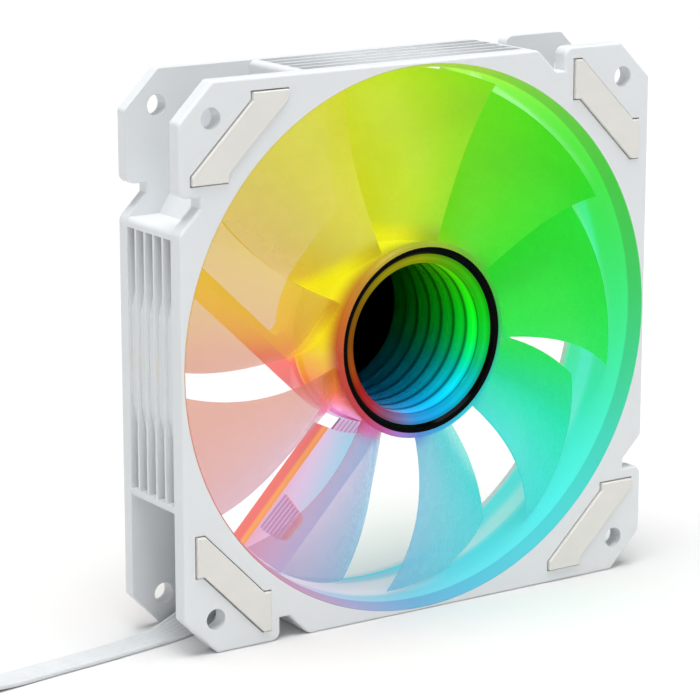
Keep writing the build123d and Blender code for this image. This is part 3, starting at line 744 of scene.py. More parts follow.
@dataclass(frozen=True)
class HalfMirror(Finish):
    """A clear window whose rear face is coated: it lets light out, and throws it back inside."""

    split: float
    passed: float = 0.5
    thrown: float = 0.6

    def make(self) -> bpy.types.Material:
        """The coated face is clear from within the window and a mirror from behind it.

        Returns:
            The material.
        """
        sheet = Sheet(self.name)
        _, depth, _ = sheet.split(sheet.place())
        geometry = sheet.node("ShaderNodeNewGeometry")
        coated = sheet.maths("GREATER_THAN", depth, self.split)
        behind = sheet.maths("MULTIPLY", coated, sheet.maths("SUBTRACT", 1.0, geometry.outputs["Backfacing"]))
        smear = sheet.noise(6 * MM, 3.0)
        tinted = sheet.node("ShaderNodeBsdfTransparent")
        clean = sheet.mix(smear, grey(0.97), grey(0.99))
        sheet.feed(tinted.inputs[0], sheet.mix(coated, clean, grey(self.passed)))
        coat = sheet.node("ShaderNodeBsdfGlossy")
        coat.inputs["Color"].default_value = (*grey(self.thrown), 1.0)
        coat.inputs["Roughness"].default_value = 0.0
        return sheet.finish(sheet.blend(behind, tinted, coat))


@dataclass(frozen=True)
class Silvering(Finish):
    """A silvered plate."""

    shine: float = 0.9

    def make(self) -> bpy.types.Material:
        """A clean mirror with the faintest cloud in its colour.

        Returns:
            The material.
        """
        sheet = Sheet(self.name)
        cloud = sheet.noise(8 * MM, 2.0)
        gloss = sheet.node("ShaderNodeBsdfGlossy")
        clean = grey(self.shine)
        sheet.feed(gloss.inputs["Color"], sheet.mix(cloud, clean, toned(clean, 0.97)))
        gloss.inputs["Roughness"].default_value = 0.0
        return sheet.finish(gloss.outputs[0])


@dataclass(frozen=True)
class LitRing(Finish):
    """The diffuser round the window and between the two mirrors, lit from the board behind it."""

    axis: Axis
    wheel: LightWheel
    cone_edge: float
    cone_mouth: float
    front: float
    back: float
    cone_power: float = 1.08
    wall_power: float = 3.4

    def make(self) -> bpy.types.Material:
        """A cone that is duller at its mouth, and a wall that brightens towards the mirror behind it.

        Returns:
            The material.
        """
        sheet = Sheet(self.name)
        share, radius, depth = self.axis.around(sheet)
        glow = self.wheel.ramp(sheet, share)
        cone = sheet.fade(sheet.step(radius, self.cone_edge, self.cone_mouth), Fade.MIRROR_CONE)
        wall = sheet.fade(sheet.step(depth, self.front, self.back), Fade.MIRROR_WALL)
        inside = sheet.step(depth, self.front - 0.2, self.front - 0.15)
        level = sheet.mix(inside, sheet.times(cone, self.cone_power), sheet.times(wall, self.wall_power))
        patch = sheet.noise(7 * MM, 2.0)
        surface = sheet.surface(
            Base_Color=(0.002, 0.002, 0.002),
            Roughness=0.5,
            Specular_IOR_Level=0.02,
            Emission_Color=glow,
            Emission_Strength=sheet.maths("MULTIPLY", level, sheet.step(patch, 0.3, 0.7, 0.95, 1.05)),
        )
        return sheet.finish(surface.outputs[0])


@dataclass(frozen=True)
class TurnedMetal(Finish):
    """Metal with fine marks that run round the fan's axis."""

    colour: Colour
    axis: Axis
    roughness: float = 0.3
    mark: float = 0.18
    stain_tone: float = 0.9

    def make(self) -> bpy.types.Material:
        """Rings of fine tool marks, and a little stain.

        Returns:
            The material.
        """
        sheet = Sheet(self.name)
        _, radius, depth = self.axis.around(sheet)
        lines = sheet.node("ShaderNodeTexNoise", noise_dimensions="2D")
        both = sheet.node("ShaderNodeCombineXYZ")
        sheet.feed(both.inputs[0], radius)
        sheet.feed(both.inputs[1], depth)
        sheet.feed(lines.inputs["Vector"], both.outputs[0])
        lines.inputs["Scale"].default_value = 1.0 / self.mark
        lines.inputs["Detail"].default_value = 4.0
        stain = sheet.noise(9 * MM, 1.0)
        dull = toned(self.colour, self.stain_tone)
        surface = sheet.surface(
            Base_Color=sheet.mix(stain, self.colour, dull),
            Metallic=1.0,
            Roughness=sheet.step(lines.outputs["Fac"], 0.3, 0.7, self.roughness, self.roughness + 0.18),
            Normal=sheet.bump(lines.outputs["Fac"], 0.01 * MM, sheet.soft_edges(0.1 * MM)),
        )
        return sheet.finish(surface.outputs[0])


@dataclass(frozen=True)
class Laminations(Finish):
    """A stack of thin steel sheets."""

    colour: Colour
    sheets: float = 0.5 * MM

    def make(self) -> bpy.types.Material:
        """A dark line at every sheet of the stack, and stamping marks.

        Returns:
            The material.
        """
        sheet = Sheet(self.name)
        _, depth, _ = sheet.split(sheet.place())
        layer = sheet.maths("PINGPONG", depth, self.sheets / 2)
        seam = sheet.step(layer, 0.0, 0.3 * self.sheets / 2)
        grain = sheet.noise(0.6 * MM, 3.0)
        dark = toned(self.colour, 0.35)
        surface = sheet.surface(
            Base_Color=sheet.mix(seam, dark, self.colour),
            Metallic=1.0,
            Roughness=sheet.step(grain, 0.2, 0.8, 0.4, 0.6),
            Normal=sheet.bump(seam, 0.04 * MM),
        )
        return sheet.finish(surface.outputs[0])


@dataclass(frozen=True)
class EnamelledWire(Finish):
    """Copper wire under clear enamel, wound tightly."""

    colour: Colour
    axis: Axis
    wire: float = 0.3

    def make(self) -> bpy.types.Material:
        """A groove between each turn and the next, with painted shade in it.

        Returns:
            The material.
        """
        sheet = Sheet(self.name)
        _, radius, depth = self.axis.around(sheet)
        turns = sheet.maths("PINGPONG", radius, self.wire / 2)
        crown = sheet.step(turns, 0.0, self.wire / 2)
        patch = sheet.noise(1.5 * MM, 2.0)
        # Darker between the turns: painted shade in the grooves.
        deep = toned(self.colour, 0.4)
        surface = sheet.surface(
            Base_Color=sheet.mix(crown, deep, self.colour),
            Metallic=0.85,
            Roughness=sheet.step(patch, 0.3, 0.7, 0.24, 0.36),
            Coat_Weight=0.6,
            Coat_Roughness=0.1,
            Normal=sheet.bump(crown, 0.1 * MM),
        )
        return sheet.finish(surface.outputs[0])


@dataclass(frozen=True)
class Cast(Finish):
    """A dark, dry, grainy block such as moulded ferrite or a chip's package."""

    colour: Colour
    roughness: float = 0.6
    grain: float = 0.2 * MM

    def make(self) -> bpy.types.Material:
        """Grain in the colour, the gloss and the surface.

        Returns:
            The material.
        """
        sheet = Sheet(self.name)
        grain = sheet.noise(self.grain, 4.0)
        light = toned(self.colour, 1.5)
        surface = sheet.surface(
            Base_Color=sheet.mix(sheet.step(grain, 0.35, 0.7), self.colour, light),
            Roughness=sheet.step(grain, 0.2, 0.8, self.roughness, self.roughness + 0.15),
            Normal=sheet.bump(grain, 0.03 * MM, sheet.soft_edges(0.08 * MM)),
        )
        return sheet.finish(surface.outputs[0])


@dataclass(frozen=True)
class BoardMask(Finish):
    """White solder mask over copper tracks."""

    colour: Colour
    axis: Axis

    def make(self) -> bpy.types.Material:
        """Tracks stand a little proud, and look a little warmer.

        Returns:
            The material.
        """
        sheet = Sheet(self.name)
        share, radius, _ = self.axis.around(sheet)
        rings = sheet.step(sheet.maths("PINGPONG", radius, 0.8), 0.2, 0.32)
        spokes = sheet.step(sheet.maths("PINGPONG", share, 1 / 56), 0.002, 0.003)
        track = sheet.maths("MULTIPLY", rings, spokes)
        warm = tuple(share * level for share, level in zip(self.colour, (0.82, 0.86, 0.78)))
        surface = sheet.surface(
            Base_Color=sheet.mix(track, warm, self.colour),
            Roughness=sheet.step(track, 0.0, 1.0, 0.28, 0.4),
            Normal=sheet.bump(track, -0.03 * MM),
        )
        return sheet.finish(surface.outputs[0])


@dataclass(frozen=True)
class LitChip(Finish):
    """A light's package, glowing in its own colour."""

    axis: Axis
    wheel: LightWheel
    power: float = 1.4

    def make(self) -> bpy.types.Material:
        """The lens glows, a little unevenly.

        Returns:
            The material.
        """
        sheet = Sheet(self.name)
        share, _, _ = self.axis.around(sheet)
        patch = sheet.noise(0.8 * MM, 2.0)
        surface = sheet.surface(
            Base_Color=(0.85, 0.85, 0.82),
            Roughness=0.3,
            Emission_Color=self.wheel.ramp(sheet, share),
            Emission_Strength=sheet.step(patch, 0.2, 0.8, 0.8 * self.power, self.power),
            Normal=sheet.bump(patch, 0.02 * MM, sheet.soft_edges(0.1 * MM)),
        )
        return sheet.finish(surface.outputs[0])


@dataclass(frozen=True)
class CableJacket(Finish):
    """The smooth plastic jacket of the ribbon cable."""

    colour: Colour

    def make(self) -> bpy.types.Material:
        """Satin, slightly clouded, with fine drawing marks.

        Returns:
            The material.
        """
        sheet = Sheet(self.name)
        cloud = sheet.noise(4 * MM, 2.0)
        marks = sheet.noise(0.3 * MM, 3.0)
        shade = toned(self.colour, 0.88)
        surface = sheet.surface(
            Base_Color=sheet.mix(cloud, self.colour, shade),
            Roughness=sheet.step(marks, 0.2, 0.8, 0.39, 0.45),
            Normal=sheet.bump(marks, 0.0006 * MM),
        )
        return sheet.finish(surface.outputs[0])


@dataclass(frozen=True)
class LitJacket(Finish):
    """The same jacket where the ribbon runs through the bore, with the lights' colours painted on as glow and
    tint, and painted shade in its grooves.
    """

    colour: Colour
    axis: Axis
    middle: float
    half: float
    # Painted light colours near and far from the hub, and the painted shade of the grooves.
    near: Colour = tone(238, 206, 238)
    far: Colour = tone(230, 184, 218)
    groove: Colour = tone(150, 88, 128)
    groove_depth: float = 0.34
    crest_depth: float = 0.06
    bore_edge: float = 58.0
    near_edge: float = 24.0
    far_edge: float = 44.0
    painted_light_tint: float = 0.9
    body: float = 0.55
    power: float = 0.46

    def make(self) -> bpy.types.Material:
        """A painted glow, lilac at the hub and pink further out, with painted shade between the wires, and
        plain beyond the bore.

        Returns:
            The material.
        """
        sheet = Sheet(self.name)
        _, radius, depth = self.axis.around(sheet)
        marks = sheet.noise(0.3 * MM, 3.0)
        lit = sheet.step(radius, self.bore_edge, self.bore_edge + 1.0, 1.0, 0.0)
        painted_light_tint = sheet.mix(sheet.step(radius, self.near_edge, self.far_edge), self.near, self.far)
        # Darker between the wires, where shade falls: painted shade in the grooves.
        off = sheet.maths("ABSOLUTE", sheet.maths("SUBTRACT", depth, self.middle))
        crest = sheet.step(off, self.half - self.groove_depth, self.half - self.crest_depth)
        painted_light_tint = sheet.mix(crest, self.groove, painted_light_tint)
        deep = sheet.times(painted_light_tint, self.body)
        surface = sheet.surface(
            Base_Color=sheet.mix(sheet.maths("MULTIPLY", lit, self.painted_light_tint), self.colour, deep),
            Roughness=sheet.step(marks, 0.2, 0.8, 0.39, 0.45),
            Normal=sheet.bump(marks, 0.0006 * MM),
            Emission_Color=painted_light_tint,
            Emission_Strength=sheet.maths("MULTIPLY", lit, self.power),
        )
        return sheet.finish(surface.outputs[0])


@dataclass(frozen=True)
class WovenTape(Finish):
    """Woven hook tape."""

    colour: Colour
    thread: float = 0.45 * MM

    def make(self) -> bpy.types.Material:
        """Threads that cross over and under, with a fuzzy sheen and a painted highlight on the raised
        crossings.

        Returns:
            The material.
        """
        sheet = Sheet(self.name)
        across, deep, up = sheet.split(sheet.place())
        warp = sheet.maths("PINGPONG", across, self.thread / 2)
        weft = sheet.maths("PINGPONG", sheet.maths("ADD", deep, up), self.thread / 2)
        top = self.thread / 2
        over = sheet.maths("MULTIPLY", sheet.step(warp, 0, top), sheet.step(weft, 0, top))
        fuzz = sheet.noise(0.15 * MM, 4.0)
        # The raised crossings lighter: painted highlight.
        light = toned(self.colour, 2.2)
        surface = sheet.surface(
            Base_Color=sheet.mix(over, self.colour, light),
            Roughness=sheet.step(fuzz, 0.2, 0.8, 0.8, 0.95),
            Sheen_Weight=0.5,
            Sheen_Roughness=0.4,
            Normal=sheet.bump(over, 0.15 * MM),
        )
        return sheet.finish(surface.outputs[0])


@dataclass(frozen=True)
class FloorPaper(Finish):
    """The pale sheet that the fan stands on."""

    colour: Colour

    def make(self) -> bpy.types.Material:
        """Matte paper with a trace of tooth.

        Returns:
            The material.
        """
        sheet = Sheet(self.name)
        tooth = sheet.noise(0.8 * MM, 2.0)
        surface = sheet.surface(
            Base_Color=self.colour,
            Roughness=sheet.step(tooth, 0.2, 0.8, 0.85, 0.95),
            Specular_IOR_Level=0.1,
        )
        return sheet.finish(surface.outputs[0])


# ---------------------------------------------------------------- pieces and meshes


def mesh_piece(name: str, body: str, points: Sequence[Point], faces: Sequence[Sequence[int]],
               smooth: bool = True) -> bpy.types.Object:
    """A new piece from points and faces, riding on a body.

    Args:
        name: The piece's name.
        body: The body that it moves with.
        points: Its corners, in metres.
        faces: The corners of each face.
        smooth: Whether it is shaded smooth.

    Returns:
        The piece.
    """
    mesh = bpy.data.meshes.new(name)
    mesh.from_pydata([tuple(point) for point in points], [], [tuple(face) for face in faces])
    sheet = bmesh.new()
    sheet.from_mesh(mesh)
    bmesh.ops.recalc_face_normals(sheet, faces=sheet.faces)
    sheet.to_mesh(mesh)
    sheet.free()
    mesh.shade_smooth() if smooth else mesh.shade_flat()
    piece = bpy.data.objects.new(name, mesh)
    bpy.context.scene.collection.objects.link(piece)
    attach(piece, body)
    return piece


def dress(piece: bpy.types.Object, material: bpy.types.Material) -> None:
    """Gives a piece its one material."""
    piece.data.materials.clear()
    piece.data.materials.append(material)


def rounded(wave: float, power: float) -> float:
    """A sine or cosine bent towards a square's sides: the smaller the power, the squarer."""
    return math.copysign(abs(wave) ** power, wave)


def tube_faces(rings: int, around: int) -> list[tuple[int, ...]]:
    """The faces of a tube with closed ends, whose corners are numbered ring by ring.

    Args:
        rings: How many rings of corners it has.
        around: How many corners each ring has.

    Returns:
        The corners of each face.
    """
    faces = []
    for i in range(rings - 1):
        for j in range(around):
            a, b = i * around + j, i * around + (j + 1) % around
            faces.append((a, b, b + around, a + around))
    ends = tuple(range(around)), tuple(reversed(range((rings - 1) * around, rings * around)))
    return [*faces, *ends]


def box_faces(start: int) -> list[tuple[int, ...]]:
    """The faces of a box whose eight corners are numbered from start, bottom ring first.

    Args:
        start: The first corner's number.

    Returns:
        The corners of each face.
    """
    ring = [(i, (i + 1) % 4) for i in range(4)]
    sides = [(start + a, start + b, start + 4 + b, start + 4 + a) for a, b in ring]
    return [tuple(start + i for i in (3, 2, 1, 0)), tuple(start + 4 + i for i in range(4)), *sides]


def box_points(low: Point, high: Point) -> list[Point]:
    """The eight corners of a box, bottom ring first."""
    plan = [(low[0], low[1]), (high[0], low[1]), (high[0], high[1]), (low[0], high[1])]
    return [(x, y, z) for z in (low[2], high[2]) for x, y in plan]


@dataclass
class SubAssembly:
    """A group of pieces that belong together, dressed by one class."""

    made: list[str] = field(default_factory=list, init=False)

    def report(self, name: str, what: str) -> None:
        """Notes a finished piece in the log.

        Args:
            name: The piece's name.
            what: What was done to it.
        """
        self.made.append(name)
        LOG.info("%s: %s, %s", type(self).__name__, name, what)

    def dress_nodes(self, names: Sequence[str], finish: Finish) -> None:
        """Gives solids their finish.

        Args:
            names: The solids' names.
            finish: The finish that they share.
        """
        material = finish.make()
        for name in names:
            dress(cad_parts[name], material)
            self.report(name, finish.name)


# ---------------------------------------------------------------- flat cables


@dataclass(frozen=True)
class Route:
    """A cable's control points: place in metres, and the roll of its width from level."""

    points: tuple[tuple[float, float, float, float], ...]

    def spline(self, name: str) -> bpy.types.Object:
        """The route as one smooth spline, with the points as its control points.

        Args:
            name: The curve's name.

        Returns:
            The curve object, not in the scene.
        """
        curve = bpy.data.curves.new(name, "CURVE")
        curve.dimensions = "3D"
        spline = curve.splines.new("NURBS")
        spline.points.add(len(self.points) - 1)
        for point, (x, y, z, _) in zip(spline.points, self.points):
            point.co = (x, y, z, 1.0)
        spline.order_u = 3
        spline.use_endpoint_u = True
        spline.resolution_u = 6
        return bpy.data.objects.new(name, curve)

    def line(self) -> list[tuple[Vector, float]]:
        """The spline's own points, each with the roll that the cable has there, in radians.

        Returns:
            Each place with its roll.
        """
        thread = self.spline("thread")
        mesh = bpy.data.meshes.new_from_object(thread)
        places = [vertex.co.copy() for vertex in mesh.vertices]
        curve = thread.data
        bpy.data.objects.remove(thread)
        bpy.data.curves.remove(curve)
        bpy.data.meshes.remove(mesh)
        last = len(self.points) - 1
        rolled = []
        for i, place in enumerate(places):
            at = i / (len(places) - 1) * last
            low = min(int(at), last - 1)
            near, far = self.points[low][3], self.points[low + 1][3]
            rolled.append((place, math.radians(near + (at - low) * (far - near))))
        return rolled


@dataclass(frozen=True)
class Ribbon:
    """A flat cable of round wires joined side by side."""

    ways: int
    pitch: float = 1.0 * MM
    thick: float = 1.1 * MM
    web: float = 0.16
    deep_share: float = 0.55
    arc_points: int = 8
    least_height: float = 0.02 * MM
    deep_grooves: tuple[int, ...] = ()

    @property
    def width(self) -> float:
        """The whole width."""
        return self.ways * self.pitch

    def outline(self) -> list[tuple[float, float]]:
        """The section: a crest over each wire and a groove between each two.

        Returns:
            The corners, across and up, in metres.
        """
        crest = self.thick / 2
        side = []
        for way in range(self.ways):
            middle = (way - (self.ways - 1) / 2) * self.pitch
            for step in range(self.arc_points):
                share = (step + 0.5) / self.arc_points * 2 - 1
                deep = way + (share > 0) in self.deep_grooves
                drop = self.web * self.deep_share if deep else self.web
                rise = drop + (1 - drop) * math.sqrt(max(0.0, 1 - share * share))
                side.append((middle + share * self.pitch / 2, crest * rise))
        edge = self.width / 2
        upper = [(-edge, 0.0), *side, (edge, 0.0)]
        lower = [(x, -y) for x, y in reversed(side)]
        return upper + lower

    def lay(self, name: str, line: Sequence[tuple[Vector, float]]) -> bpy.types.Object:
        """The cable's mesh along a line.

        Args:
            name: The piece's name.
            line: Places, each with the roll of the width from level.

        Returns:
            The piece, riding on the housing.
        """
        section = self.outline()
        points = []
        places = [place for place, _ in line]
        for i, (place, roll) in enumerate(line):
            before, after = places[max(i - 1, 0)], places[min(i + 1, len(places) - 1)]
            ahead = (after - before).normalized()
            level = ahead.cross(Vector((0, 0, 1))).normalized()
            rise = level.cross(ahead)
            across = level * math.cos(roll) + rise * math.sin(roll)
            up = rise * math.cos(roll) - level * math.sin(roll)
            for x, y in section:
                spot = place + across * x + up * y
                points.append((spot.x, spot.y, max(spot.z, self.least_height)))
        return mesh_piece(name, HOUSING, points, tube_faces(len(line), len(section)))


@dataclass
class RibbonCable(SubAssembly):
    """The flat cable, its put-away hank, the sleeve where it divides, and the two leads."""

    axis: Axis
    jacket: Colour = tone(214, 217, 219)
    ribbon: Ribbon = Ribbon(7, deep_grooves=(3,))
    motor: Ribbon = Ribbon(4)
    light: Ribbon = Ribbon(3)
    free: tuple[tuple[float, float, float, float], ...] = (
        (-31.7, 8.7, 11.48, 90), (-36.2, 8.4, 7.3, 88), (-41.8, 6.8, 4.1, 58), (-48.2, 4.4, 2.0, 24),
        (-55.8, 2.0, 0.9, 4), (-64.6, 0.5, 0.62, 0), (-75.6, -1.5, 0.6, 0), (-87.4, -3.0, 0.6, 0),
        (-99.2, -5.1, 0.65, 0), (-110.2, -6.3, 2.1, 20), (-120.6, -6.5, 3.9, 70), (-131.0, -6.0, 4.05, 90),
    )
    motor_route: tuple[tuple[float, float, float, float], ...] = (
        (-207, -2.4, 2.4, 90), (-215, -1.8, 2.3, 90), (-221.6, 3.4, 2.2, 90), (-223.6, 11.8, 2.2, 90),
        (-221, 20, 2.2, 90), (-214.4, 25.4, 2.2, 88), (-205.6, 26.2, 2.2, 75), (-196.6, 25.6, 2.2, 40),
        (-188.6, 25.2, 2.3, 12), (-181, 25.2, 2.3, 0),
    )
    light_route: tuple[tuple[float, float, float, float], ...] = (
        (-207, -2.4, 6.0, 90), (-213.4, -1.8, 5.95, 90), (-218.2, 3.0, 5.6, 90), (-219, 9.6, 4.4, 90),
        (-215.4, 15.2, 3.2, 85), (-209, 17.6, 2.2, 55), (-202.4, 17.6, 1.6, 12), (-196, 17.6, 1.6, 0),
    )
    middle: float = 15.0
    straight: float = 84.0
    spiral: tuple[float, float, float, float] = (21.0, 19.9, 18.9, 17.8)
    height: float = 4.05
    bend_points: int = 8
    sleeve_at: float = -203.0
    tie_thick: float = 0.45 * MM
    tie_half: float = 2.5 * MM
    tie_steps: int = 40
    tie_overlap: int = 6
    tie_roundness: float = 0.35
    sleeve_rings: int = 14
    sleeve_sides: int = 36
    contact_pitch: float = 2.54 * MM
    contact_rows: tuple[tuple[str, int, float], ...] = (
        ("motor_plug", 4, 2.3 * MM),
        ("light_plug", 3, 1.6 * MM),
    )

    def in_metres(self, route: Sequence[tuple[float, float, float, float]]) -> Route:
        """A route given in millimetres, in metres."""
        return Route(tuple((x * MM, y * MM, z * MM, roll) for x, y, z, roll in route))

    def hank_turns(self) -> list[tuple[float, float, float, float]]:
        """The put-away length: once round a long loop, spiralling in, then along its front again.

        Returns:
            The route's points in millimetres, each with its roll.
        """
        right = self.free[-1][0]
        left = right - self.straight
        offsets = self.spiral
        turns = [(right - self.straight * share, self.middle - offsets[0]) for share in (0.33, 0.67, 0.93)]
        for i in range(self.bend_points + 1):
            angle = math.pi * i / self.bend_points
            reach = offsets[0] + (offsets[1] - offsets[0]) * i / self.bend_points
            turns.append((left - reach * math.sin(angle), self.middle - reach * math.cos(angle)))
        rear = self.middle + offsets[1]
        turns += [(left + self.straight * share, rear) for share in (0.07, 0.33, 0.67, 0.93)]
        for i in range(self.bend_points + 1):
            angle = math.pi * i / self.bend_points
            reach = offsets[2] + (offsets[3] - offsets[2]) * i / self.bend_points
            turns.append((right + reach * math.sin(angle), self.middle + reach * math.cos(angle)))
        front = self.middle - offsets[3]
        turns += [(right - self.straight * share, front) for share in (0.07, 0.3, 0.55)]
        turns += [(self.sleeve_at + 9, front), (self.sleeve_at, front + 0.4)]
        return [(x, y, self.height, 90.0) for x, y in turns]

    def main_cable(self) -> bpy.types.Object:
        """The seven wires from the frame's corner to the sleeve.

        Returns:
            The cable.
        """
        route = self.in_metres([*self.free, *self.hank_turns()])
        line = route.line()
        cable = self.ribbon.lay("ribbon_jacket", line)
        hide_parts("ribbon_cable", "ribbon_hank")
        places = [place for place, _ in line]
        length = sum((b - a).length for a, b in zip(places, places[1:]))
        self.report(cable.name, f"{length:.3f} m")
        return cable

    def lead(self, name: str, node: str, ribbon: Ribbon, route: Sequence[tuple[float, float, float, float]],
             plug: str) -> bpy.types.Object:
        """One of the two leads behind the sleeve.

        Args:
            name: The piece's name.
            node: The solid that it stands for.
            ribbon: Its section.
            route: Its control points in millimetres.
            plug: The plug at its end; not used.

        Returns:
            The lead.
        """
        line = self.in_metres(route).line()
        lead = ribbon.lay(name, line)
        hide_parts(node)
        places = [place for place, _ in line]
        length = sum((b - a).length for a, b in zip(places, places[1:]))
        self.report(name, f"{length:.3f} m")
        return lead

    def strap(self) -> bpy.types.Object:
        """The tie round both turns of the hank's near side: a band with its overlapping tail.

        Returns:
            The tie.
        """
        low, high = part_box("hank_tie")
        middle = (low + high) / 2
        half = (high - low) / 2
        thick = self.tie_thick
        loop = []
        for i in range(self.tie_steps + self.tie_overlap + 1):
            turn = math.tau * i / self.tie_steps
            grow = thick * 0.9 * max(0.0, (i - self.tie_steps + self.tie_overlap) / (2 * self.tie_overlap))
            y = (half.y - thick) * rounded(math.cos(turn), self.tie_roundness)
            z = (half.z - thick) * rounded(math.sin(turn), self.tie_roundness)
            away = Vector((0, y, z)).normalized() * grow
            loop.append((middle.y + y + away.y, middle.z + z + away.z))
        points = []
        for y, z in loop:
            out = Vector((y - middle.y, z - middle.z)).normalized() * thick / 2
            for x, side in ((-1, -1), (1, -1), (1, 1), (-1, 1)):
                points.append((middle.x + x * self.tie_half, y + side * out.x, z + side * out.y))
        strap = mesh_piece("hank_strap", HOUSING, points, tube_faces(len(loop), 4))
        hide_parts("hank_tie")
        dress(strap, WovenTape("tie_strap", tone(52, 52, 55)).make())
        self.report(strap.name, "woven band")
        return strap

    def shrink(self) -> bpy.types.Object:
        """The shrunk sleeve: it follows the wires under it, and swells where it divides.

        Returns:
            The sleeve.
        """
        low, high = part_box("split_sleeve")
        middle = (low + high) / 2
        half = (high - low) / 2
        rings, around = self.sleeve_rings, self.sleeve_sides
        points = []
        for i in range(rings):
            share = i / (rings - 1)
            end = min(share, 1 - share) * 2
            swell = 0.80 + 0.2 * min(1.0, end * 2.4) - 0.02 * math.sin(share * 17)
            for j in range(around):
                turn = math.tau * j / around
                ridge = 1 + 0.02 * math.cos(turn * 14)
                y = half.y * swell * ridge * rounded(math.cos(turn), 0.8)
                z = half.z * (0.93 + 0.07 * end) * rounded(math.sin(turn), 0.55)
                points.append((low.x + (high.x - low.x) * share, middle.y + y, middle.z + z))
        sleeve = mesh_piece("split_shrink", HOUSING, points, tube_faces(rings, around))
        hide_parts("split_sleeve")
        dress(sleeve, CableJacket("sleeve_shrink", tone(206, 208, 210)).make())
        self.report(sleeve.name, "shrunk sleeve")
        return sleeve

    def build(self) -> None:
        """Makes the cable and everything on it."""
        self.strap()
        self.shrink()
        jacket = CableJacket("ribbon_jacket", self.jacket).make()
        for piece in (
            self.main_cable(),
            self.lead("motor_wires", "motor_lead", self.motor, self.motor_route, "motor_plug"),
            self.lead("light_wires", "light_lead", self.light, self.light_route, "light_plug"),
        ):
            dress(piece, jacket)
        low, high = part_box("channel_ribbon")
        middle, half = (low.y + high.y) / 2 / MM, (high.y - low.y) / 2 / MM
        lit = LitJacket("channel_jacket", self.jacket, self.axis, middle, half)
        self.dress_nodes(["channel_ribbon"], lit)
        self.dress_nodes(["motor_plug", "light_plug"], Moulding("plug_plastic", tone(226, 228, 228), 0.4))
        self.contacts()

    def contacts(self) -> None:
        """The crimped contacts that show in the plugs' openings."""
        metal = Silvering("contact_plating", 0.75).make()
        for name, ways, height in self.contact_rows:
            low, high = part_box(name)
            middle = (low + high) / 2
            points, faces = [], []
            for way in range(ways):
                y = middle.y + (way - (ways - 1) / 2) * self.contact_pitch
                for side in (-1, 1):
                    wall = y + side * 0.5 * MM
                    faces += box_faces(len(points))
                    points += box_points((high.x - 8.0 * MM, wall - 0.12 * MM, height - 0.6 * MM),
                                         (high.x - 0.9 * MM, wall + 0.12 * MM, height + 0.6 * MM))
            piece = mesh_piece(name + "_contacts", HOUSING, points, faces, smooth=False)
            dress(piece, metal)
            self.report(piece.name, "contacts")


# ---------------------------------------------------------------- the fan


@dataclass
class FanFrame(SubAssembly):
    """The square frame with its struts, the soft pads and the disc at the rear."""

    axis: Axis
    white: Colour = tone(222, 225, 227)
    rubber: Colour = tone(223, 221, 216)
    foil: Colour = tone(214, 215, 217)

    def build(self) -> None:
        """Dresses the frame and what is fixed to it."""
        plastic = LitMoulding("frame_plastic", self.white, self.axis, struts=Glow.STRUT.value,
                              bore=Glow.BORE.value, painted_highlight=Glow.PAINTED_HIGHLIGHT.value, rim=Glow.RIM.value)
        self.dress_nodes(["frame"], plastic)
        pads = [f"{side}_pad_{place}" for side in ("front", "rear")
                for place in ("top_left", "top_right", "bottom_right", "bottom_left")]
        self.dress_nodes(pads, PadRubber("pad_rubber", self.rubber))
        foil = TurnedMetal("rear_disc_foil", self.foil, self.axis, roughness=0.42, mark=0.3, stain_tone=0.98)
        self.dress_nodes(["rear_disc"], foil)


@dataclass
class Impeller(SubAssembly):
    """The translucent moulding with its nine blades."""

    axis: Axis

    def build(self) -> None:
        """Dresses the moulding."""
        finish = OpalMoulding("impeller_plastic", self.axis, Glow.RIM.value, Glow.HUB.value, Glow.BLADE.value)
        self.dress_nodes(["impeller"], finish)


@dataclass
class InfinityMirror(SubAssembly):
    """The black ring, the half mirror, the lit ring and the mirror behind it."""

    axis: Axis
    cone_mouth: float = 18.6

    def build(self) -> None:
        """Dresses the parts of the mirror in the hub's mouth."""
        low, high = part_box("half_mirror_window")
        _, ring_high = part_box("diffuser_ring")
        self.dress_nodes(["bezel_ring"], GlossBlack("bezel_black"))
        self.dress_nodes(["half_mirror_window"], HalfMirror("window_glass", (low.y + high.y) / 2))
        ring = LitRing("diffuser_plastic", self.axis, Glow.MIRROR.value, high.x / MM, self.cone_mouth,
                       high.y / MM, ring_high.y / MM)
        self.dress_nodes(["diffuser_ring"], ring)
        self.dress_nodes(["rear_mirror"], Silvering("mirror_silver"))


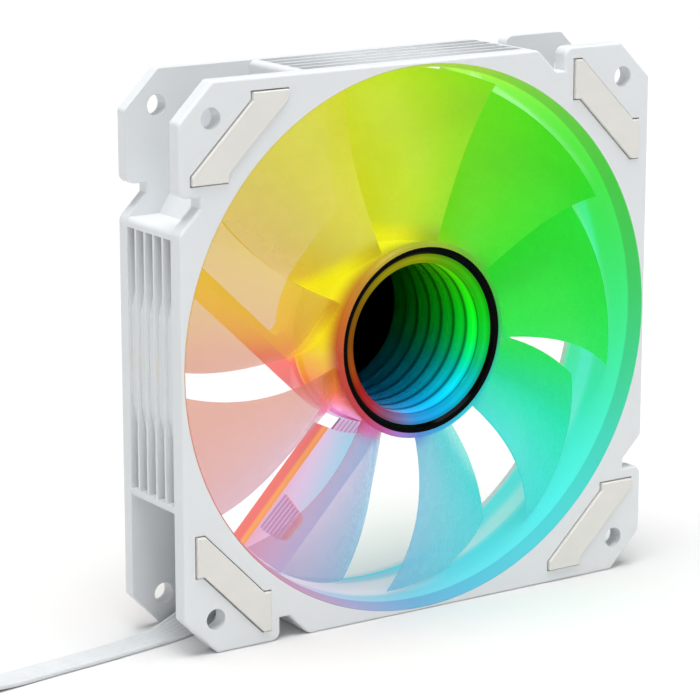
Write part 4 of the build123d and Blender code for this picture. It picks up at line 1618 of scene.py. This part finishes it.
@dataclass
class Motor(SubAssembly):
    """The bearing, shaft, stator, magnet and board."""

    axis: Axis

    def build(self) -> None:
        """Dresses the motor's parts."""
        turned = [
            (["bearing_tube", "shaft_boss"], "bearing_brass", tone(206, 170, 96), 0.28),
            (["bearing_sleeve"], "sleeve_bronze", tone(158, 120, 78), 0.5),
            (["shaft"], "shaft_steel", tone(196, 198, 202), 0.14),
            (["rotor_yoke"], "yoke_steel", tone(168, 170, 174), 0.36),
        ]
        for names, slot, colour, roughness in turned:
            self.dress_nodes(names, TurnedMetal(slot, colour, self.axis, roughness))
        seal = Moulding("seal_plastic", tone(226, 222, 206))
        self.dress_nodes(["oil_seal", "retaining_clip", "thrust_plate"], seal)
        self.dress_nodes(["stator_core"], Laminations("core_steel", tone(120, 122, 126)))
        insulator = Moulding("insulator_plastic", tone(222, 221, 216))
        self.dress_nodes(["insulator_front", "insulator_rear"], insulator)
        coils = [f"coil_{i}" for i in range(1, 5)]
        self.dress_nodes(coils, EnamelledWire("winding_copper", tone(196, 112, 62), self.axis))
        self.dress_nodes(["ring_magnet"], Cast("magnet_ferrite", tone(52, 52, 55)))
        self.dress_nodes(["circuit_board"], BoardMask("board_laminate", tone(228, 230, 228), self.axis))
        self.dress_nodes(["light_chips"], LitChip("light_chip", self.axis, Glow.HUB.value))
        self.dress_nodes(["driver_chip", "hall_sensor"], Cast("chip_black", tone(26, 26, 28), 0.5))
        self.dress_nodes(["small_parts"], Cast("small_ceramic", tone(156, 126, 98), 0.4))
        self.dress_nodes(["solder_joints"], TurnedMetal("solder", tone(206, 206, 210), self.axis, 0.2))


# ---------------------------------------------------------------- stage


@dataclass
class Studio(SubAssembly):
    """The pale floor, the soft lights and the camera."""

    camera_place: Point = (-361.93 * MM, -525.69 * MM, 208.23 * MM)
    camera_aim: Point = (-10.726 * MM, 0.0, 57.007 * MM)
    lens: float = 155.71
    floor_half: float = 4.0
    sky_strength: float = 0.46
    lights: tuple[tuple[str, Point, float, float], ...] = (
        ("overhead", (-0.08, -0.1, 0.985), 3.05, 46.0),
        ("front", (-0.3, -0.92, 0.26), 0.38, 30.0),
    )
    paper: Colour = (0.73, 0.73, 0.73)

    def camera(self) -> None:
        """Makes the camera and has it look at the fan."""
        data = bpy.data.cameras.new("camera")
        data.lens = self.lens
        data.sensor_width = 36.0
        data.clip_start = 0.01
        data.clip_end = 50.0
        camera = bpy.data.objects.new("camera", data)
        bpy.context.scene.collection.objects.link(camera)
        camera.location = self.camera_place
        aim = Vector(self.camera_aim) - Vector(self.camera_place)
        camera.rotation_mode = "QUATERNION"
        camera.rotation_quaternion = aim.to_track_quat("-Z", "Y")
        bpy.context.scene.camera = camera

    def floor(self) -> None:
        """Lays the floor."""
        half = self.floor_half
        mesh = bpy.data.meshes.new("floor")
        corners = [(-half, -half, 0), (half, -half, 0), (half, half, 0), (-half, half, 0)]
        mesh.from_pydata(corners, [], [(0, 1, 2, 3)])
        floor = bpy.data.objects.new("floor", mesh)
        bpy.context.scene.collection.objects.link(floor)
        dress(floor, FloorPaper("floor_paper", self.paper).make())
        self.report("floor", "plain paper")

    def sun(self, name: str, towards: Point, strength: float, spread: float) -> None:
        """Hangs one wide, even light far away.

        Args:
            name: The light's name.
            towards: The direction that it shines from.
            strength: Its strength.
            spread: How wide it looks, in degrees.
        """
        data = bpy.data.lights.new(name, "SUN")
        data.energy = strength
        data.angle = math.radians(spread)
        light = bpy.data.objects.new(name, data)
        bpy.context.scene.collection.objects.link(light)
        light.location = Vector(towards)
        light.rotation_mode = "QUATERNION"
        light.rotation_quaternion = (-Vector(towards)).to_track_quat("-Z", "Y")

    def sky(self, strength: float) -> None:
        """Fills the surroundings with even white light.

        Args:
            strength: Its strength.
        """
        world = bpy.data.worlds.new("studio")
        world.use_nodes = True
        back = world.node_tree.nodes["Background"]
        back.inputs["Color"].default_value = (1.0, 1.0, 1.0, 1.0)
        back.inputs["Strength"].default_value = strength
        bpy.context.scene.world = world

    def build(self) -> None:
        """Lays the floor and hangs the lights."""
        self.floor()
        self.sky(self.sky_strength)
        for name, towards, strength, spread in self.lights:
            self.sun(name, towards, strength, spread)
        scene = bpy.context.scene
        scene.view_settings.view_transform = "Standard"
        scene.cycles.max_bounces = 20
        scene.cycles.glossy_bounces = 12
        scene.cycles.transparent_max_bounces = 20


def axis_of(node: str) -> Axis:
    """The fan's axis, through the middle of one round solid."""
    low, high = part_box(node)
    return Axis(height=(low.z + high.z) / 2)


def main() -> None:
    """Builds the camera and the cables, then the fan, then the stage, and reports each piece."""
    logging.basicConfig(level=logging.INFO, format="%(message)s")
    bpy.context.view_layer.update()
    studio = Studio()
    studio.camera()
    axis = axis_of("bezel_ring")
    RibbonCable(axis).build()
    for part in (FanFrame(axis), Impeller(axis), InfinityMirror(axis), Motor(axis)):
        part.build()
        LOG.info("%s: %d pieces", type(part).__name__, len(part.made))
    studio.build()


if __name__ == "__main__":
    main()
